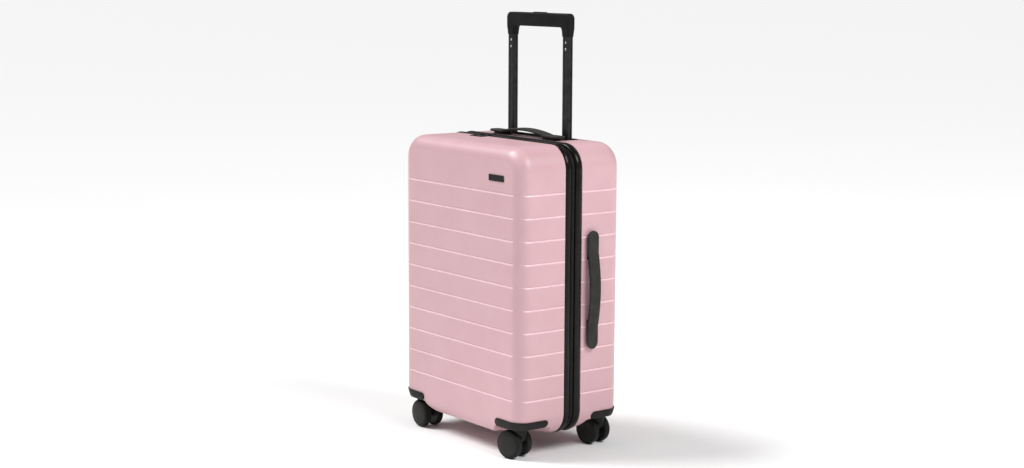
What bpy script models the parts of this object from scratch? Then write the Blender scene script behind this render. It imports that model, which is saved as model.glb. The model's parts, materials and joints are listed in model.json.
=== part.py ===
"""Hard shell spinner suitcase: two clamshell halves joined by a zip, a two-stage
trolley handle, two carry handles, a dial lock and four twin-wheel casters.

Metres, +Z up. The case's width runs along X and its depth along Y, with the front
face towards -Y. The floor is z = 0. Everything hangs from one empty, which shifts
the case along X so that its bounding box is centred on the origin.
"""

import math

import bmesh
import bpy
from mathutils import Matrix, Vector

# Driving dimensions of the case
WIDTH = 0.3668
DEPTH = 0.2272
SHELL_BOTTOM = 0.0355
SHELL_TOP = 0.5515
CORNER_RADIUS = 0.043
EDGE_RADIUS = 0.026
WALL = 0.0025
GAP = 0.0003
CORNER_SEGMENTS = 6
EDGE_SEGMENTS = 4

# The band round the case: front bead, zip and rear bead, as stretches along Y
FRONT_RIM = -0.0153
FRONT_BEAD_END = -0.0024
ZIP_MIDDLE = 0.0026
REAR_BEAD_START = 0.0077
REAR_RIM = 0.0219
BEAD_PROUD = 0.0018
BEAD_DEPTH = 0.006
BEAD_ROUND = 0.004
TAPE_RECESS = 0.004
TAPE_THICKNESS = 0.0012

# Lining
LINING_INSET = 0.0095
LINING_THICKNESS = 0.0012
LINING_BACK = 0.0505

# Wheel pockets and corner guards
POCKET_RADIUS = 0.072
POCKET_CEILING = 0.069
POCKET_STEPS = 20
ARM_BOTTOM = 0.0556
ARM_TOP = 0.070
ARM_REACH_X = 0.070
ARM_REACH_Y = 0.0645
ARM_PROUD = 0.002
ARM_END_RADIUS = 0.0071
PLATE_TOP = 0.060
BOSS_RADIUS = 0.0135

# Casters
SWIVEL_X = 0.149
SWIVEL_Y = 0.0885
TRAIL = 0.0095
WHEEL_RADIUS = 0.0255
WHEEL_INNER_FACE = 0.0074
WHEEL_OUTER_FACE = 0.0210
WHEEL_STEPS = 20
AXLE_RADIUS = 0.0025
AXLE_REACH = 0.0178
FORK_HALF_THICKNESS = 0.0062
CROWN_RADIUS = 0.015
CROWN_BOTTOM = 0.0516
CROWN_TOP = 0.0552
KINGPIN_RADIUS = 0.004
KINGPIN_TOP = 0.0665
CASTER_TURN = {"front_right": 13.0, "front_left": 180.0, "rear_right": 5.0, "rear_left": 172.0}

# Trolley
TROLLEY_Y = 0.0665
TUBE_X = 0.082
INNER_TUBE = (0.0176, 0.0114)
MIDDLE_TUBE = (0.0210, 0.0148)
OUTER_TUBE = (0.0244, 0.0182)
INNER_WALL = 0.0010
OUTER_WALL = 0.0012
TUBE_CORNER = 0.0018
INNER_TUBE_BOTTOM = 0.300
INNER_TUBE_TOP = 0.745
MIDDLE_TUBE_BOTTOM = 0.060
MIDDLE_TUBE_TOP = 0.508
OUTER_TUBE_BOTTOM = 0.0565
BRACKET_SIZE = (0.194, 0.026, 0.0098)
BRACKET_TONGUE = 0.120
BRACKET_CLEARANCE = 0.0085
CUP_FLOOR = 0.506
CUP_THICKNESS = 0.0015
CUP_INSIDE = (0.190, 0.022)
CUP_FLANGE = 0.003
GRIP_TOP = 0.777
GRIP_BOTTOM = 0.734
GRIP_WIDTH = 0.186
GRIP_DEPTH = 0.016
GRIP_BAR_HEIGHT = 0.025
GRIP_LEG_WIDTH = 0.022
GRIP_OUTER_RADIUS = 0.010
GRIP_INNER_RADIUS = 0.007
BUTTON_SIZE = (0.034, 0.010)
BUTTON_TRAVEL = 0.004
BUTTON_PROUD = 0.0012
BUTTON_HEIGHT = 0.009
YOKE_HEIGHT = 0.004
ROD_RADIUS = 0.002
PIN_RADIUS = 0.002
PIN_LENGTH = 0.005
PIN_TRAVEL = 0.0024

# Carry handles
HANDLE_LENGTH = 0.212
HANDLE_WIDTH = 0.0240
HANDLE_THICKNESS = 0.005
HANDLE_PAD_FACE = 0.0088
HANDLE_BOW = 0.0072
HANDLE_PAD_LENGTH = 0.040
HANDLE_STATIONS = 16
SIDE_HANDLE_Y = 0.043
SIDE_HANDLE_Z = 0.2936
TOP_HANDLE_Y = 0.0375
MOUNT_LENGTH = 0.040
MOUNT_WIDTH = 0.016
MOUNT_CENTRE = 0.074
MOUNT_SUNK = 0.0065
STEM_SIDE = 0.007
STEM_LENGTH = 0.009

# Lock, zip sliders and badge
LOCK_X = -0.063
LOCK_Y = -0.026
LOCK_SIZE = (0.036, 0.016, 0.0095)
LOCK_PROUD = 0.0012
DIAL_RADIUS = 0.0045
DIAL_THICKNESS = 0.003
DIAL_PITCH = 0.0045
DIAL_OFFSET = 0.005
DIAL_SHAFT_RADIUS = 0.0010
SLIDER_X = (-0.051, -0.075)
SLIDER_SIZE = (0.014, 0.0088, 0.0045)
PULL_SIZE = (0.008, 0.0175, 0.0012)
BADGE_X = 0.114
BADGE_Z = 0.496
BADGE_SIZE = (0.044, 0.001, 0.0113)

# Inside: packing straps across the rear half
STRAP = (0.025, 0.0012, 0.476)
STRAP_Y = 0.0285
STRAP_Z = 0.2935
BUCKLE_SIZE = (0.052, 0.0046, 0.036)

# The hinge line stands just outside the beads on the left side
HINGE_X = -(WIDTH / 2 + 0.0028)
ORIGIN_SHIFT = (HANDLE_PAD_FACE + HANDLE_BOW - ARM_PROUD) / 2

CORNERS = {
    "front_right": (1, -1),
    "front_left": (-1, -1),
    "rear_right": (1, 1),
    "rear_left": (-1, 1),
}

PARTS = "hard_shell_suitcase"
CUTTERS = "cutters"


# ---------------------------------------------------------------- scene helpers

def clear_scene():
    """Removes the default objects."""
    for item in list(bpy.data.objects):
        bpy.data.objects.remove(item, do_unlink=True)


def collection(name):
    """Makes a collection and links it to the scene."""
    made = bpy.data.collections.new(name)
    bpy.context.scene.collection.children.link(made)
    return made


def material(name, rgb, roughness, metallic=0.0):
    """A Principled material of one colour."""
    made = bpy.data.materials.new(name)
    made.use_nodes = True
    shader = made.node_tree.nodes["Principled BSDF"]
    shader.inputs["Base Color"].default_value = (*rgb, 1.0)
    shader.inputs["Roughness"].default_value = roughness
    shader.inputs["Metallic"].default_value = metallic
    return made


def empty(name, location, parent=None, turn=0.0):
    """An empty that carries a moving group; location is relative to its parent."""
    made = bpy.data.objects.new(name, None)
    bpy.data.collections[PARTS].objects.link(made)
    made.parent = parent
    made.location = location
    made.rotation_euler.z = turn
    return made


def piece(name, mesh, finish, parent, origin=(0, 0, 0), smooth=True):
    """Makes a sub-part from a bmesh or a mesh; origin is where the mesh's zero lies."""
    data = mesh
    if isinstance(mesh, bmesh.types.BMesh):
        data = bpy.data.meshes.new(name)
        mesh.to_mesh(data)
        mesh.free()
    if not data.materials:
        data.materials.append(finish)
    if smooth:
        data.shade_smooth()
        data.set_sharp_from_angle(angle=math.radians(35))
    made = bpy.data.objects.new(name, data)
    bpy.data.collections[PARTS].objects.link(made)
    made.parent = parent
    made.location = origin
    return made


def cutter(name, mesh, parent, origin=(0, 0, 0)):
    """Makes a hidden solid that only cuts, joins or trims other pieces."""
    data = bpy.data.meshes.new(name)
    mesh.to_mesh(data)
    mesh.free()
    made = bpy.data.objects.new(name, data)
    bpy.data.collections[CUTTERS].objects.link(made)
    made.parent = parent
    made.location = origin
    made.hide_render = True
    made.display_type = "WIRE"
    return made


def placed_cutter(name, mesh, place, parent):
    """A cutter whose mesh is first moved and turned by a matrix."""
    bmesh.ops.transform(mesh, matrix=place, verts=mesh.verts)
    return cutter(name, mesh, parent)


def combine(target, tool, operation="DIFFERENCE"):
    """Adds an exact Boolean modifier."""
    step = target.modifiers.new(operation.lower() + "_" + tool.name, "BOOLEAN")
    step.operation = operation
    step.object = tool
    step.solver = "EXACT"
    return step


# ---------------------------------------------------------------- basic shapes

def move(mesh, offset):
    """Moves every vertex of a bmesh."""
    bmesh.ops.translate(mesh, verts=mesh.verts, vec=Vector(offset))
    return mesh


def block(size, centre=(0, 0, 0), round_axis=None, radius=0.0, segments=2):
    """A box. round_axis names the axis whose four parallel edges are rounded, or "all"."""
    mesh = bmesh.new()
    bmesh.ops.create_cube(mesh, size=1.0)
    bmesh.ops.scale(mesh, vec=Vector(size), verts=mesh.verts)
    if round_axis:
        edges = list(mesh.edges)
        if round_axis != "all":
            edges = [edge for edge in mesh.edges if runs_along(edge, "xyz".index(round_axis))]
        bmesh.ops.bevel(mesh, geom=edges, offset=radius, segments=segments, profile=0.5, affect="EDGES")
    return move(mesh, centre)


def runs_along(edge, axis):
    """True where an edge is parallel to an axis."""
    run = edge.verts[1].co - edge.verts[0].co
    return abs(abs(run[axis]) - run.length) < 1e-7


def drum(radius, low, high, centre=(0, 0), steps=24, top_radius=None):
    """An upright cylinder or cone between two heights."""
    mesh = bmesh.new()
    bmesh.ops.create_cone(mesh, cap_ends=True, segments=steps, radius1=radius,
                          radius2=radius if top_radius is None else top_radius, depth=high - low)
    return move(mesh, (centre[0], centre[1], (low + high) / 2))


def lay_along(mesh, axis):
    """Turns an upright bmesh so that its height runs along X or Y."""
    turn = Matrix.Rotation(math.radians(90), 3, "Y" if axis == "x" else "X")
    bmesh.ops.rotate(mesh, verts=mesh.verts, cent=(0, 0, 0), matrix=turn)
    return mesh


def turned(name, profile, finish, parent, steps, kind=piece, origin=(0, 0, 0)):
    """Spins a profile of (radius, height) points about its upright axis."""
    mesh = bmesh.new()
    corners = [mesh.verts.new((radius, 0, height)) for radius, height in profile]
    for first, second in zip(corners, corners[1:]):
        mesh.edges.new((first, second))
    made = cutter(name, mesh, parent, origin) if kind is cutter else piece(
        name, mesh, finish, parent, origin, smooth=False)
    spin = made.modifiers.new("spin", "SCREW")
    spin.axis = "Z"
    spin.steps = steps
    spin.render_steps = steps
    spin.use_merge_vertices = True
    spin.merge_threshold = 0.00001
    spin.use_smooth_shade = True
    return made


def case_form(inset, face_y, rim_y):
    """The case's rounded box between its face and a rim plane, drawn in by an inset."""
    half_width = WIDTH / 2 - inset
    low = SHELL_BOTTOM + inset
    high = SHELL_TOP - inset
    mesh = block((2 * half_width, abs(rim_y - face_y), high - low),
                 (0, (rim_y + face_y) / 2, (low + high) / 2),
                 "y", CORNER_RADIUS - inset, CORNER_SEGMENTS)
    face_edges = [edge for edge in mesh.edges
                  if all(abs(vert.co.y - face_y) < 1e-6 for vert in edge.verts)]
    bmesh.ops.bevel(mesh, geom=face_edges, offset=EDGE_RADIUS - inset,
                    segments=EDGE_SEGMENTS, profile=0.5, affect="EDGES")
    return mesh


def outline_form(inset, y_low, y_high, edge_round=0.0):
    """A slab with the case's front outline, drawn in by an inset, with rounded rims."""
    half_width = WIDTH / 2 - inset
    low = SHELL_BOTTOM + inset
    high = SHELL_TOP - inset
    mesh = block((2 * half_width, y_high - y_low, high - low),
                 (0, (y_low + y_high) / 2, (low + high) / 2),
                 "y", CORNER_RADIUS - inset, CORNER_SEGMENTS)
    if edge_round:
        rims = [edge for edge in mesh.edges if abs(edge.verts[0].co.y - edge.verts[1].co.y) < 1e-7]
        bmesh.ops.bevel(mesh, geom=rims, offset=edge_round, segments=3, profile=0.5, affect="EDGES")
    return mesh


def flat_outline(name, points, half_thickness, finish, parent):
    """A closed outline in X and Z, given thickness along Y, as a mesh object."""
    curve = bpy.data.curves.new(name, "CURVE")
    curve.dimensions = "2D"
    curve.fill_mode = "BOTH"
    curve.extrude = half_thickness
    spline = curve.splines.new("POLY")
    spline.points.add(len(points) - 1)
    for point, (x, z) in zip(spline.points, points):
        point.co = (x, z, 0, 1)
    spline.use_cyclic_u = True
    flat = bpy.data.objects.new(name + "_curve", curve)
    bpy.data.collections[PARTS].objects.link(flat)
    bpy.context.view_layer.update()
    data = bpy.data.meshes.new_from_object(flat.evaluated_get(bpy.context.evaluated_depsgraph_get()))
    bpy.data.objects.remove(flat, do_unlink=True)
    mesh = bmesh.new()
    mesh.from_mesh(data)
    bpy.data.meshes.remove(data)
    bmesh.ops.remove_doubles(mesh, verts=mesh.verts, dist=0.00001)
    bmesh.ops.rotate(mesh, verts=mesh.verts, cent=(0, 0, 0), matrix=Matrix.Rotation(math.radians(90), 3, "X"))
    return piece(name, mesh, finish, parent, smooth=False)


def arc(centre, radius, start, end, steps):
    """Points on an arc in X and Z, from one angle to another in degrees."""
    angles = [math.radians(start + (end - start) * step / steps) for step in range(steps + 1)]
    return [(centre[0] + radius * math.cos(angle), centre[1] + radius * math.sin(angle)) for angle in angles]


# ---------------------------------------------------------------- shells and band

def pocket_profile(grow):
    """Half section of a wheel pocket about the case's lower corner, with its flared lip."""
    lip = ((0.072, 0.058), (0.0755, 0.0535), (0.081, 0.049), (0.089, 0.044), (0.098, 0.039), (0.112, 0.031))
    points = [(0, POCKET_CEILING + grow), (POCKET_RADIUS + grow, POCKET_CEILING + grow)]
    points += [(radius + grow, height + grow * 0.5) for radius, height in lip]
    points += [(0.112 + grow, -0.010), (0, -0.010)]
    return points


def pocket_cutters(frame):
    """Pocket cutters at each lower corner: true size, and grown for the wall and the lining."""
    made = {}
    for label, grow in (("pocket", 0.0), ("pocket_wall", WALL), ("pocket_lining", LINING_INSET),
                        ("pocket_lining_inside", LINING_INSET + LINING_THICKNESS)):
        for corner, (side, end) in CORNERS.items():
            place = (side * WIDTH / 2, end * DEPTH / 2, 0)
            made[label, corner] = turned(label + "_" + corner, pocket_profile(grow), None, frame,
                                         POCKET_STEPS, kind=cutter, origin=place)
    return made


def shell(name, end, rim_y, finish, frame, pockets, hollow_label, inset, wall, face_y):
    """One half of the case, or its lining: an outer form less its pockets and its hollow."""
    corners = [corner for corner, (_, where) in CORNERS.items() if where == end]
    outer_label = {"pocket_wall": "pocket", "pocket_lining_inside": "pocket_lining"}[hollow_label]
    body = piece(name, case_form(inset, face_y, rim_y), finish, frame)
    hollow = cutter(name + "_hollow", case_form(inset + wall, face_y - end * wall, rim_y - end * 0.002), frame)
    for corner in corners:
        combine(body, pockets[outer_label, corner])
        combine(hollow, pockets[hollow_label, corner])
    combine(body, hollow)
    return body


def ring(name, y_low, y_high, inset, thickness, finish, frame, edge_round=0.0):
    """A band round the case's outline."""
    body = piece(name, outline_form(inset, y_low, y_high, edge_round), finish, frame)
    inside = cutter(name + "_inside", outline_form(inset + thickness, y_low - 0.002, y_high + 0.002), frame)
    combine(body, inside)
    return body


def case_halves(frame, lid, paint, trim, tape, cloth):
    """Shells, linings, beads and zip tapes."""
    pockets = pocket_cutters(frame)
    rear = shell("rear_shell", 1, REAR_RIM, paint, frame, pockets, "pocket_wall", 0.0, WALL, DEPTH / 2)
    front = shell("front_shell", -1, FRONT_RIM, paint, lid, pockets, "pocket_wall", 0.0, WALL, -DEPTH / 2)
    shell("rear_lining", 1, REAR_RIM, cloth, frame, pockets, "pocket_lining_inside",
          LINING_INSET, LINING_THICKNESS, LINING_BACK)
    shell("front_lining", -1, FRONT_RIM, cloth, lid, pockets, "pocket_lining_inside",
          LINING_INSET, LINING_THICKNESS, -DEPTH / 2 + LINING_INSET)
    ring("front_bead", FRONT_RIM + GAP, FRONT_BEAD_END, -BEAD_PROUD, BEAD_DEPTH + BEAD_PROUD,
         trim, lid, BEAD_ROUND)
    ring("rear_bead", REAR_BEAD_START, REAR_RIM - GAP, -BEAD_PROUD, BEAD_DEPTH + BEAD_PROUD,
         trim, frame, BEAD_ROUND)
    ring("front_zip_tape", FRONT_BEAD_END + GAP, ZIP_MIDDLE - GAP / 2, TAPE_RECESS, TAPE_THICKNESS, tape, lid)
    ring("rear_zip_tape", ZIP_MIDDLE + GAP / 2, REAR_BEAD_START - GAP, TAPE_RECESS, TAPE_THICKNESS, tape, frame)
    return front, rear


# ---------------------------------------------------------------- corner guards and casters

def corner_guard(corner, finish, carrier):
    """A corner guard: two arms that hug the shell, a plate under the pocket and a caster boss."""
    side, end = CORNERS[corner]
    name = "guard_" + corner
    corner_x = side * WIDTH / 2
    corner_y = end * DEPTH / 2
    swivel = (side * SWIVEL_X, end * SWIVEL_Y)
    face_y = end * (DEPTH / 2 + ARM_PROUD)
    body = piece(name, case_form(-ARM_PROUD, face_y, 0.0), finish, carrier)
    inside = cutter(name + "_inside", case_form(-GAP, end * (DEPTH / 2 + GAP), -end * 0.002), carrier)
    overhang = 0.010
    window = block((ARM_REACH_X + overhang, ARM_REACH_Y + overhang, ARM_TOP - ARM_BOTTOM),
                   (corner_x - side * (ARM_REACH_X - overhang) / 2,
                    corner_y - end * (ARM_REACH_Y - overhang) / 2,
                    (ARM_TOP + ARM_BOTTOM) / 2))
    ends = [edge for edge in window.edges
            if (runs_along(edge, 1) and abs(edge.verts[0].co.x - corner_x) > overhang * 2)
            or (runs_along(edge, 0) and abs(edge.verts[0].co.y - corner_y) > overhang * 2)]
    bmesh.ops.bevel(window, geom=ends, offset=ARM_END_RADIUS, segments=3, profile=0.5, affect="EDGES")
    combine(body, inside)
    combine(body, cutter(name + "_window", window, carrier), "INTERSECT")
    plate = cutter(name + "_plate", case_form(-ARM_PROUD / 2, end * (DEPTH / 2 + ARM_PROUD / 2), 0.0), carrier)
    reach = cutter(name + "_reach", drum(POCKET_RADIUS - GAP * 2, ARM_BOTTOM, PLATE_TOP,
                                         (corner_x, corner_y), POCKET_STEPS), carrier)
    combine(plate, reach, "INTERSECT")
    combine(body, plate, "UNION")
    boss = cutter(name + "_boss", drum(BOSS_RADIUS, ARM_BOTTOM + 0.001, POCKET_CEILING - GAP * 2, swivel), carrier)
    combine(body, boss, "UNION")
    bore = cutter(name + "_bore", drum(KINGPIN_RADIUS + GAP * 1.5, 0.05, POCKET_CEILING + 0.005, swivel, 16), carrier)
    combine(body, bore)
    return body


def fork_outline():
    """Side view of the fork's web: crown at the top, axle boss below, trailing towards -X."""
    boss = (-TRAIL, WHEEL_RADIUS)
    points = [(-0.0125, CROWN_TOP - 0.001), (0.0105, CROWN_TOP - 0.001), (0.0115, 0.047), (0.0115, 0.033),
              (0.008, 0.0285)]
    points += arc(boss, 0.0085, -25, -180, 8)
    points += [(boss[0] - 0.0085, 0.036), (-0.0165, 0.046)]
    return points


def caster_meshes(frame, plastic, steel, tyre):
    """The four meshes that every caster shares, in the caster's own frame about its swivel axis."""
    fork = flat_outline("fork_mesh", fork_outline(), FORK_HALF_THICKNESS, plastic, frame)
    combine(fork, cutter("fork_crown", drum(CROWN_RADIUS - 0.002, CROWN_BOTTOM, CROWN_TOP, top_radius=CROWN_RADIUS),
                         frame), "UNION")
    combine(fork, cutter("fork_kingpin", drum(KINGPIN_RADIUS, CROWN_BOTTOM, KINGPIN_TOP, steps=16), frame), "UNION")
    axle_hole = move(lay_along(drum(AXLE_RADIUS + GAP, -0.03, 0.03, steps=16), "y"), (-TRAIL, 0, WHEEL_RADIUS))
    combine(fork, cutter("fork_axle_hole", axle_hole, frame))
    axle = piece("axle_mesh", lay_along(drum(AXLE_RADIUS, -AXLE_REACH, AXLE_REACH, steps=16), "y"), steel, frame)
    tread = WHEEL_RADIUS / math.cos(math.pi / WHEEL_STEPS)
    inner, outer = WHEEL_INNER_FACE, WHEEL_OUTER_FACE
    profile = [(0, outer + 0.0006), (0.012, outer + 0.0004), (0.0195, outer - 0.0004), (0.0232, outer - 0.0018),
               (tread, outer - 0.0046), (tread, inner + 0.0030), (0.0235, inner + 0.0004), (0.0205, inner + 0.0012),
               (0.0085, inner + 0.0012), (0.0070, inner), (AXLE_RADIUS + GAP, inner),
               (AXLE_RADIUS + GAP, AXLE_REACH + GAP), (0, AXLE_REACH + GAP)]
    wheel = turned("wheel_mesh", profile, tyre, frame, WHEEL_STEPS)
    bpy.context.view_layer.update()
    depsgraph = bpy.context.evaluated_depsgraph_get()
    meshes = {}
    for label, source in (("fork", fork), ("axle", axle), ("wheel", wheel)):
        meshes[label] = bpy.data.meshes.new_from_object(source.evaluated_get(depsgraph))
        bpy.data.objects.remove(source, do_unlink=True)
    half_step = Matrix.Rotation(math.pi / WHEEL_STEPS, 4, "Z")
    lay_down = Matrix.Rotation(math.radians(90), 4, "X")
    meshes["wheel"].transform(lay_down @ half_step)
    return meshes


def caster(corner, meshes, carrier, finishes):
    """One twin-wheel caster on its swivel axis."""
    side, end = CORNERS[corner]
    swivel = empty("swivel_" + corner, (side * SWIVEL_X, end * SWIVEL_Y, 0), carrier,
                   math.radians(CASTER_TURN[corner]))
    axle_centre = (-TRAIL, 0, WHEEL_RADIUS)
    piece("fork_" + corner, meshes["fork"], finishes["plastic"], swivel)
    piece("axle_" + corner, meshes["axle"], finishes["steel"], swivel, axle_centre)
    piece("wheel_a_" + corner, meshes["wheel"], finishes["tyre"], swivel, axle_centre)
    opposite = piece("wheel_b_" + corner, meshes["wheel"], finishes["tyre"], swivel, axle_centre)
    opposite.rotation_euler.z = math.pi


# ---------------------------------------------------------------- trolley

def tube_pair(name, size, wall, low, high, finish, frame):
    """Rectangular tubes, one node for each side."""
    tubes = {}
    for side in (-1, 1):
        label = name + ("_left" if side < 0 else "_right")
        centre = (side * TUBE_X, TROLLEY_Y, (low + high) / 2)
        body = piece(label, block((*size, high - low), centre, "z", TUBE_CORNER), finish, frame)
        hollow = block((size[0] - 2 * wall, size[1] - 2 * wall, high - low + 0.01), centre)
        combine(body, cutter(label + "_hollow", hollow, frame))
        tubes[side] = body
    return tubes


def grip_outline():
    """Front view of the grip: a bar with two legs and rounded corners."""
    half = GRIP_WIDTH / 2
    leg = half - GRIP_LEG_WIDTH
    under = GRIP_TOP - GRIP_BAR_HEIGHT
    points = [(half, GRIP_BOTTOM)]
    points += arc((half - GRIP_OUTER_RADIUS, GRIP_TOP - GRIP_OUTER_RADIUS), GRIP_OUTER_RADIUS, 0, 90, 5)
    points += arc((-half + GRIP_OUTER_RADIUS, GRIP_TOP - GRIP_OUTER_RADIUS), GRIP_OUTER_RADIUS, 90, 180, 5)
    points += [(-half, GRIP_BOTTOM), (-leg, GRIP_BOTTOM)]
    points += arc((-leg + GRIP_INNER_RADIUS, under - GRIP_INNER_RADIUS), GRIP_INNER_RADIUS, 180, 90, 4)
    points += arc((leg - GRIP_INNER_RADIUS, under - GRIP_INNER_RADIUS), GRIP_INNER_RADIUS, 90, 0, 4)
    points += [(leg, GRIP_BOTTOM)]
    return points


def trolley(frame, rear_shell, plastic, alloy, steel):
    """Outer, middle and inner tubes, the cup, the grip, its button and the locking gear."""
    tube_pair("outer_tube", OUTER_TUBE, OUTER_WALL, OUTER_TUBE_BOTTOM, CUP_FLOOR - CUP_THICKNESS - GAP, alloy, frame)
    tube_pair("middle_tube", MIDDLE_TUBE, OUTER_WALL, MIDDLE_TUBE_BOTTOM, MIDDLE_TUBE_TOP, alloy, frame)
    inner_tubes = tube_pair("inner_tube", INNER_TUBE, INNER_WALL, INNER_TUBE_BOTTOM, INNER_TUBE_TOP, alloy, frame)
    trolley_bracket(frame, plastic)
    trolley_cup(frame, rear_shell, plastic)
    grip = flat_outline("grip", grip_outline(), GRIP_DEPTH / 2, plastic, frame)
    bpy.context.view_layer.update()
    grip.location.y = TROLLEY_Y
    soften = grip.modifiers.new("soften", "BEVEL")
    soften.width = 0.003
    soften.segments = 2
    soften.limit_method = "ANGLE"
    soften.angle_limit = math.radians(60)
    socket_height = INNER_TUBE_TOP + GAP - GRIP_BOTTOM + 0.01
    for side in (-1, 1):
        socket = block((INNER_TUBE[0] + 2 * GAP, INNER_TUBE[1] + 2 * GAP, socket_height),
                       (side * TUBE_X, TROLLEY_Y, INNER_TUBE_TOP + GAP - socket_height / 2))
        combine(grip, cutter("grip_socket_" + ("left" if side < 0 else "right"), socket, frame))
    well_depth = BUTTON_HEIGHT + BUTTON_TRAVEL + GAP
    well = block((BUTTON_SIZE[0] + 2 * GAP, BUTTON_SIZE[1] + 2 * GAP, well_depth),
                 (0, TROLLEY_Y, GRIP_TOP + BUTTON_PROUD - well_depth / 2), "z", 0.003)
    combine(grip, cutter("grip_button_well", well, frame))
    button_place = (0, TROLLEY_Y, GRIP_TOP + BUTTON_PROUD)
    piece("release_button", block((*BUTTON_SIZE, BUTTON_HEIGHT), (0, 0, -BUTTON_HEIGHT / 2), "z", 0.003),
          plastic, frame, button_place)
    locking_gear(frame, grip, inner_tubes, steel)


def trolley_bracket(frame, plastic):
    """The bracket under the outer tubes, with a tongue back to the shell's rear wall."""
    width, depth, height = BRACKET_SIZE
    middle_z = OUTER_TUBE_BOTTOM - GAP - height / 2
    body = piece("trolley_bracket", block(BRACKET_SIZE, (0, TROLLEY_Y, middle_z), "z", 0.004), plastic, frame)
    tongue_end = DEPTH / 2 - BRACKET_CLEARANCE
    tongue = block((BRACKET_TONGUE, tongue_end - TROLLEY_Y, height * 0.6),
                   (0, (tongue_end + TROLLEY_Y) / 2, middle_z))
    combine(body, cutter("bracket_tongue", tongue, frame), "UNION")


def trolley_cup(frame, rear_shell, plastic):
    """The recessed cup that the grip sinks into, with its flange on the shell's top."""
    height = SHELL_TOP - CUP_FLOOR + CUP_THICKNESS
    outside = (CUP_INSIDE[0] + 2 * CUP_THICKNESS, CUP_INSIDE[1] + 2 * CUP_THICKNESS)
    middle = (0, TROLLEY_Y, SHELL_TOP - height / 2 + 0.0006)
    cup = piece("trolley_cup", block((*outside, height), middle, "z", 0.006), plastic, frame)
    flange = block((outside[0] + 2 * CUP_FLANGE, outside[1] + 2 * CUP_FLANGE, 0.0006),
                   (0, TROLLEY_Y, SHELL_TOP + GAP + 0.0003), "z", 0.008)
    combine(cup, cutter("cup_flange", flange, frame), "UNION")
    inside = block((*CUP_INSIDE, height), (0, TROLLEY_Y, CUP_FLOOR + height / 2), "z", 0.005)
    combine(cup, cutter("cup_inside", inside, frame))
    for side in (-1, 1):
        hole = block((MIDDLE_TUBE[0] + 3 * GAP, MIDDLE_TUBE[1] + 3 * GAP, 0.02),
                     (side * TUBE_X, TROLLEY_Y, CUP_FLOOR))
        combine(cup, cutter("cup_hole_" + ("left" if side < 0 else "right"), hole, frame))
    opening = block((outside[0] + 2 * GAP, outside[1] + 2 * GAP, 0.02), (0, TROLLEY_Y, SHELL_TOP), "z", 0.006)
    combine(rear_shell, cutter("shell_cup_opening", opening, frame))


def locking_gear(frame, grip, inner_tubes, steel):
    """The yoke that the button presses, its two push rods, and the pins in the tubes' end plugs."""
    plug_height = 0.016
    plug_middle = INNER_TUBE_BOTTOM + 0.001 + plug_height / 2
    rod_low = plug_middle + plug_height / 2 + BUTTON_TRAVEL + 0.002
    yoke_top = GRIP_TOP + BUTTON_PROUD - BUTTON_HEIGHT - GAP
    yoke_size = (2 * TUBE_X + 2 * ROD_RADIUS, 2 * ROD_RADIUS, YOKE_HEIGHT)
    yoke = piece("push_rod_yoke", block(yoke_size, (0, TROLLEY_Y, yoke_top - YOKE_HEIGHT / 2)), steel, frame)
    channel_height = YOKE_HEIGHT + BUTTON_TRAVEL + 3 * GAP
    channel = block((yoke_size[0] + 4 * GAP, yoke_size[1] + 4 * GAP, channel_height),
                    (0, TROLLEY_Y, yoke_top + GAP - channel_height / 2))
    combine(grip, cutter("grip_channel", channel, frame))
    for side, label in ((-1, "_left"), (1, "_right")):
        x = side * TUBE_X
        rod = drum(ROD_RADIUS, rod_low, yoke_top - YOKE_HEIGHT / 2, (x, TROLLEY_Y), 12)
        combine(yoke, cutter("push_rod" + label, rod, frame), "UNION")
        passage = drum(ROD_RADIUS + 2 * GAP, INNER_TUBE_TOP - 0.002, yoke_top - YOKE_HEIGHT / 2, (x, TROLLEY_Y), 12)
        combine(grip, cutter("rod_passage" + label, passage, frame))
        plug = block((INNER_TUBE[0] - INNER_WALL, INNER_TUBE[1] - INNER_WALL, plug_height),
                     (x, TROLLEY_Y, plug_middle))
        combine(inner_tubes[side], cutter("tube_plug" + label, plug, frame), "UNION")
        bore = move(lay_along(drum(PIN_RADIUS + GAP, -0.015, 0.015, steps=12), "y"), (x, TROLLEY_Y, plug_middle))
        combine(inner_tubes[side], cutter("plug_bore" + label, bore, frame))
        pin = lay_along(drum(PIN_RADIUS, -PIN_LENGTH / 2, PIN_LENGTH / 2, steps=12), "y")
        piece("locking_pin" + label, pin, steel, frame, (x, TROLLEY_Y - PIN_TRAVEL / 2, plug_middle))


# ---------------------------------------------------------------- carry handles

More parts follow.
